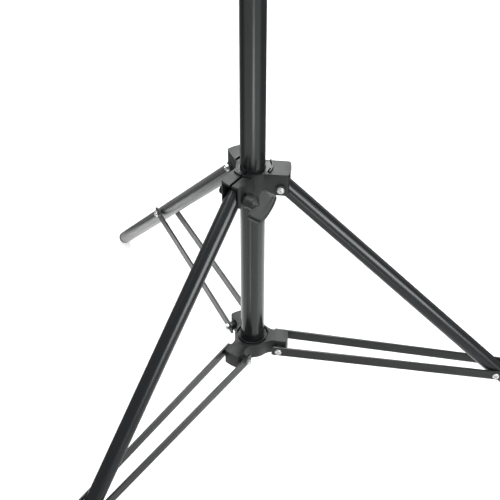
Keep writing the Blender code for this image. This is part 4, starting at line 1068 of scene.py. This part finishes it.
def lock_collar(name, outer_tube, inner_tube):
    """A collar with fluted rims, the tube's socket below, and a boss for the lock screw."""
    body = outer_tube / 2 + GAP + LOCK_WALL
    rim, half_rim = body + LOCK_RIM, LOCK_RIM / 2
    throat = inner_tube / 2 - GAP
    upper = LOCK_HEIGHT - LOCK_RIM_HEIGHT
    profile = [(rim - half_rim, LOCK_HEIGHT), (rim, LOCK_HEIGHT - half_rim), (rim, upper)]
    profile += [(body, upper - LOCK_RIM), (body, LOCK_RIM_HEIGHT + LOCK_RIM)]
    profile += [(rim, LOCK_RIM_HEIGHT), (rim, half_rim), (rim - half_rim, 0)]
    profile += [(throat, 0), (throat, LOCK_HEIGHT)]
    collar = turned(name, profile, FINE, LOCK_EDGE)
    boss_start, boss_end = inner_tube / 2 + LOCK_WALL, body + LOCK_BOSS_REACH
    profile = rod_profile(LOCK_BOSS_RADIUS, boss_start, boss_end)
    boss = turned(name + "_boss", profile, MEDIUM, LOCK_EDGE)
    boss.data.transform(shift(0, 0, LOCK_SCREW_UP) @ turn_y(QUARTER))
    add(collar, boss)
    over = LOCK_HEIGHT + CUT_OVER
    ends = (0, 0, LOCK_SCREW_UP), (2 * boss_end, 0, LOCK_SCREW_UP)
    cutters = [
        upright(name + "_throat", inner_tube / 2 + GAP, -CUT_OVER, over, FINE),
        upright(name + "_socket", outer_tube / 2 + GAP, -CUT_OVER, LOCK_SOCKET, FINE),
        rod(name + "_screw_hole", CLAMP_HOLE, *ends),
    ]
    for k in range(LOCK_FLUTES):
        spot = polar(rim + LOCK_FLUTE_OUT, 2 * math.pi * (k + 0.5) / LOCK_FLUTES)
        ends = (Vector((*spot.xy, height)) for height in (-CUT_OVER, LOCK_RIM_HEIGHT + half_rim))
        cutters.append(rod(f"{name}_flute_{k}", LOCK_FLUTE_RADIUS, *ends, LOCK_FLUTE_SEGMENTS))
    return finished(cut(collar, *cutters), "collar_plastic")


def dress_locks(knob):
    for level, body, outer_tube, inner_tube in (
        ("lower", "root", COLUMN_OD, MIDDLE_OD),
        ("upper", "middle", MIDDLE_OD, TOP_OD),
    ):
        place = shift(0, 0, LOCK_BASES[level]) @ turn_z(LOCK_AZIMUTH)
        collar = lock_collar(f"lock_collar_moulded_{level}", outer_tube, inner_tube)
        put(collar, body, place, f"lock_collar_{level}")
        seat = outer_tube / 2 + GAP + LOCK_WALL + LOCK_BOSS_REACH + GAP
        place = place @ shift(seat, 0, LOCK_SCREW_UP) @ turn_y(QUARTER) @ turn_z(LOCK_KNOB_TURN)
        wing = copy_of(knob, f"lock_knob_moulded_{level}")
        put(wing, f"lock_knob_{level}", place, f"lock_knob_{level}")


def dress_spigot():
    full, waist = SPIGOT_DIAMETER / 2, SPIGOT_WAIST_DIAMETER / 2
    tube = TOP_OD / 2
    stem = tube - TUBE_WALL - GAP
    base = GAP + SPIGOT_FLANGE
    waist_low = base + SPIGOT_WAIST_UP
    waist_high = waist_low + SPIGOT_WAIST_HEIGHT
    slope = full - waist
    profile = [(0, SPIGOT_TOP), (full - SPIGOT_CHAMFER, SPIGOT_TOP)]
    profile += [(full, SPIGOT_TOP - SPIGOT_CHAMFER), (full, waist_high)]
    profile += [(waist, waist_high - slope), (waist, waist_low + slope), (full, waist_low)]
    profile += [(full, base), (tube, base), (tube, GAP), (stem, GAP)]
    profile += [(stem, -SPIGOT_STEM), (0, -SPIGOT_STEM)]
    spigot = turned("spigot_turned", profile, FINE, SPIGOT_EDGE)
    radius = STUD_DIAMETER / 2
    sunk = SPIGOT_TOP - STUD_SUNK
    cut(spigot, upright("spigot_stud_hole", radius + GAP, sunk, SPIGOT_TOP + CUT_OVER))
    put(finished(spigot, "spigot_steel"), "top", shift(0, 0, TOP_HIGH), "spigot")
    top = SPIGOT_TOP + STUD_SHOWING
    start = top - STUD_CHAMFER
    profile = [(0, top), (radius - STUD_CHAMFER, top)]
    profile += thread_profile(radius, start, SPIGOT_TOP, STUD_PITCH, STUD_THREAD_DEPTH)
    profile += [(radius, SPIGOT_TOP - GAP), (radius, sunk + GAP), (0, sunk + GAP)]
    stud = turned("spigot_stud_threaded", profile, MEDIUM)
    put(finished(stud, "spigot_steel"), "top", shift(0, 0, TOP_HIGH), "spigot_stud")


def dress_solids():
    """Gives the solids that stay in view the finish of their slot."""
    slots = {part["node"]: part["material_slot"] for part in frame["record"]["subparts"]}
    for name, solid in frame["nodes"].items():
        solid.data.materials.clear()
        solid.data.materials.append(FINISHES[slots[name]])


# Stage
FLOOR_SIDE = 8.0
FLOOR_COLOUR = 0.6
FLOOR_SEEN = 0.66
# Painted reflections: how bright the floor shows in gloss alone, part by part, while the camera sees it evenly
# white
FLOOR_NEAR = 0.7
FLOOR_MIRRORED = 0.22
BESIDE_MIRRORED = 0.5
REAR_MIRRORED = 0.35
BEHIND_MIRRORED = 0.5
FLOOR_FAR = 0.2
NEAR_FLOOR = (0.5, 0.56)
FAR_FLOOR = (0.45, 0.9)
WORLD_SEEN = 1.0
WORLD_MIRRORED = 0.33
WORLD_AMBIENT = 0.36
WORLD_BEHIND = (0.5, 0.8)
WORLD_LOW = (0.2, 0.35)

# Parts of the floor for its painted reflections: azimuth in degrees, and the cosines of the angles
# from it where the part begins and is full
FLOOR_BEFORE = (270, 0.15, 0.55)
FLOOR_BESIDE = (60, -0.1, 0.2)
FLOOR_REAR = (125, 0.5, 0.9)
FLOOR_BEHIND = (120, 0.9, 0.97)

# Name, azimuth, elevation, distance, width, height, radiance and roll
SOFTBOXES = (
    ("back", 92, 47, 1.25, 0.6, 0.8, 8, 0),
    ("right", 322, 13, 1.5, 1.1, 0.52, 8, -20),
    ("left", 176, 57, 1.3, 0.6, 0.6, 6.5, 0),
    ("above", 284, 74, 1.3, 0.6, 0.4, 4.5, 0),
)

# Name, azimuth, start, end, width and radiance
FLOOR_STRIPS = (
    ("front_strip", 283, 0.72, 1.6, 0.26, 2.6),
    ("front_strip_low", 254, 0.25, 0.6, 0.05, 1.5),
)
LAMP_LIFT = 2 * MM

CAMERA_PLACE = (0.1173, -1.0998, 1.1037)
CAMERA_TILT = math.radians(49.42)
CAMERA_TURN = math.radians(6.24)
CAMERA_SENSOR = 36
CAMERA_LENS = 90.84
CAMERA_CLIP = 0.05


def calculate(tree, operation, first, second):
    return node(tree, "Math", {0: first, 1: second}, operation=operation)[0]


def chosen(tree, share, first, second):
    """The first value where the share is 0 and the second where it is 1."""
    return node(tree, "Mix", {"Factor": share, "A": first, "B": second})["Result"]


def by_ray(tree, seen, mirrored, otherwise):
    """A value for rays from the camera or through glass, one for mirrored rays, and the rest."""
    path = node(tree, "LightPath", {})
    direct = calculate(tree, "MAXIMUM", path["Is Camera Ray"], path["Is Transmission Ray"])
    return chosen(tree, direct, chosen(tree, path["Is Glossy Ray"], otherwise, mirrored), seen)


def floor_shares(tree):
    """Shares of the floor's painted reflections: near or before the stand, beside it, at its rear, and far behind.
    """
    place = node(tree, "TexCoord", {})["Object"]
    reach = node(tree, "VectorMath", {0: place}, operation="LENGTH")["Value"]
    unit = node(tree, "VectorMath", {0: place}, operation="NORMALIZE")["Vector"]

    def towards(azimuth, start, end):
        inputs = {0: unit, 1: polar(1, math.radians(azimuth))}
        part = node(tree, "VectorMath", inputs, operation="DOT_PRODUCT")["Value"]
        return spread(tree, part, 0, 1, start, end)

    around = spread(tree, reach, 1, 0, *NEAR_FLOOR)
    far = spread(tree, reach, 0, 1, *FAR_FLOOR)
    near = calculate(tree, "MAXIMUM", around, towards(*FLOOR_BEFORE))
    beside = calculate(tree, "MULTIPLY", around, towards(*FLOOR_BESIDE))
    rear = calculate(tree, "MULTIPLY", around, towards(*FLOOR_REAR))
    behind = calculate(tree, "MULTIPLY", towards(*FLOOR_BEHIND), far)
    return near, beside, rear, behind


def make_floor():
    bm = bmesh.new()
    bmesh.ops.create_grid(bm, x_segments=1, y_segments=1, size=FLOOR_SIDE / 2)
    floor = object_of("floor", bm)
    floor.location.z = FLOOR_Z
    made = bpy.data.materials.new("floor_white")
    made.use_nodes = True
    tree = made.node_tree
    tree.nodes.remove(tree.nodes["Principled BSDF"])
    near, *others = floor_shares(tree)
    # Painted reflections: gloss alone sees the floor's colour dim far off, and a glow that is stronger beside the
    # stand, at its rear and far behind
    mirrored = chosen(tree, near, FLOOR_COLOUR * FLOOR_FAR, FLOOR_COLOUR * FLOOR_NEAR)
    colour = by_ray(tree, FLOOR_COLOUR, mirrored, FLOOR_COLOUR)
    mirrored = calculate(tree, "MULTIPLY", near, FLOOR_MIRRORED)
    for share, strength in zip(others, (BESIDE_MIRRORED, REAR_MIRRORED, BEHIND_MIRRORED)):
        mirrored = calculate(tree, "ADD", mirrored, calculate(tree, "MULTIPLY", share, strength))
    matt = node(tree, "BsdfDiffuse", {"Color": colour})[0]
    glow = node(tree, "Emission", {"Strength": by_ray(tree, FLOOR_SEEN, mirrored, 0)})[0]
    both = node(tree, "AddShader", {0: matt, 1: glow})[0]
    fill(tree, tree.nodes["Material Output"], {"Surface": both})
    floor.data.materials.append(made)


def make_world():
    """A white backdrop behind the stand and a dim studio elsewhere, as gloss shows them."""
    world = bpy.data.worlds.new("studio")
    bpy.context.scene.world = world
    world.use_nodes = True
    tree = world.node_tree
    parts = node(tree, "SeparateXYZ", {0: node(tree, "TexCoord", {})["Generated"]})
    behind = spread(tree, parts["Y"], 0, 1, *WORLD_BEHIND)
    low = spread(tree, parts["Z"], 1, 0, *WORLD_LOW)
    share = calculate(tree, "MULTIPLY", behind, low)
    mirrored = spread(tree, share, WORLD_MIRRORED, WORLD_SEEN, 0, 1)
    strength = by_ray(tree, WORLD_SEEN, mirrored, WORLD_AMBIENT)
    fill(tree, tree.nodes["Background"], {"Strength": strength, "Color": (1, 1, 1, 1)})


def lamp(name, place, way, width, height, radiance):
    """A soft rectangular lamp at a place, shining along a way."""
    light = bpy.data.lights.new(name, "AREA")
    light.shape = "RECTANGLE"
    light.size = width
    light.size_y = height
    light.energy = radiance * math.pi * width * height
    made = new_object(name, light)
    made.location = place
    made.rotation_euler = way.to_track_quat("-Z", "Y").to_euler()
    made.visible_camera = False
    return made


def softbox(name, azimuth, elevation, distance, width, height, radiance, roll):
    """A lamp that faces the sliding collar, with its angles in degrees."""
    rise = math.radians(elevation)
    way = polar(math.cos(rise), math.radians(azimuth), math.sin(rise))
    place = Vector((0, 0, UPPER_HINGE.z)) + way * distance
    made = lamp(name, place, -way, width, height, radiance)
    made.rotation_euler.rotate_axis("Z", math.radians(roll))


def floor_strip(name, azimuth, start, end, width, radiance):
    """A strip that lies just over the floor, shines upwards and points at the column."""
    middle = polar((start + end) / 2, math.radians(azimuth), FLOOR_Z + LAMP_LIFT)
    strip = lamp(name, middle, Vector((0, 0, 1)), width, end - start, radiance)
    strip.rotation_euler = (math.pi, 0, math.radians(azimuth - 90))


def make_camera():
    data = bpy.data.cameras.new("camera")
    data.sensor_width = CAMERA_SENSOR
    data.lens = CAMERA_LENS
    data.clip_start = CAMERA_CLIP
    camera = new_object("camera", data)
    camera.location = CAMERA_PLACE
    camera.rotation_euler = (CAMERA_TILT, 0, CAMERA_TURN)
    bpy.context.scene.camera = camera


make_camera()
make_world()
make_floor()
for row in SOFTBOXES:
    softbox(*row)
for row in FLOOR_STRIPS:
    floor_strip(*row)

dress_solids()
dress_tubes()
dress_end_plug()
dress_lower_collar()
dress_bolts("strut", "root", LOWER_HINGE, BAR_INNER_OFFSET + BAR_THICKNESS / 2 + HEAD_GAP)
dress_sliding_collar()
dress_liner()
dress_bolts("leg", "slider", UPPER_HINGE, BOLT_SEAT + HEAD_GAP, LEG_NAMES[:CLAMP_LEG])
wing_knob = make_knob("clamp_knob_moulded")
dress_clamp(wing_knob)
dress_legs()
dress_struts()
dress_locks(wing_knob)
dress_spigot()

bpy.context.scene.view_settings.view_transform = "Standard"
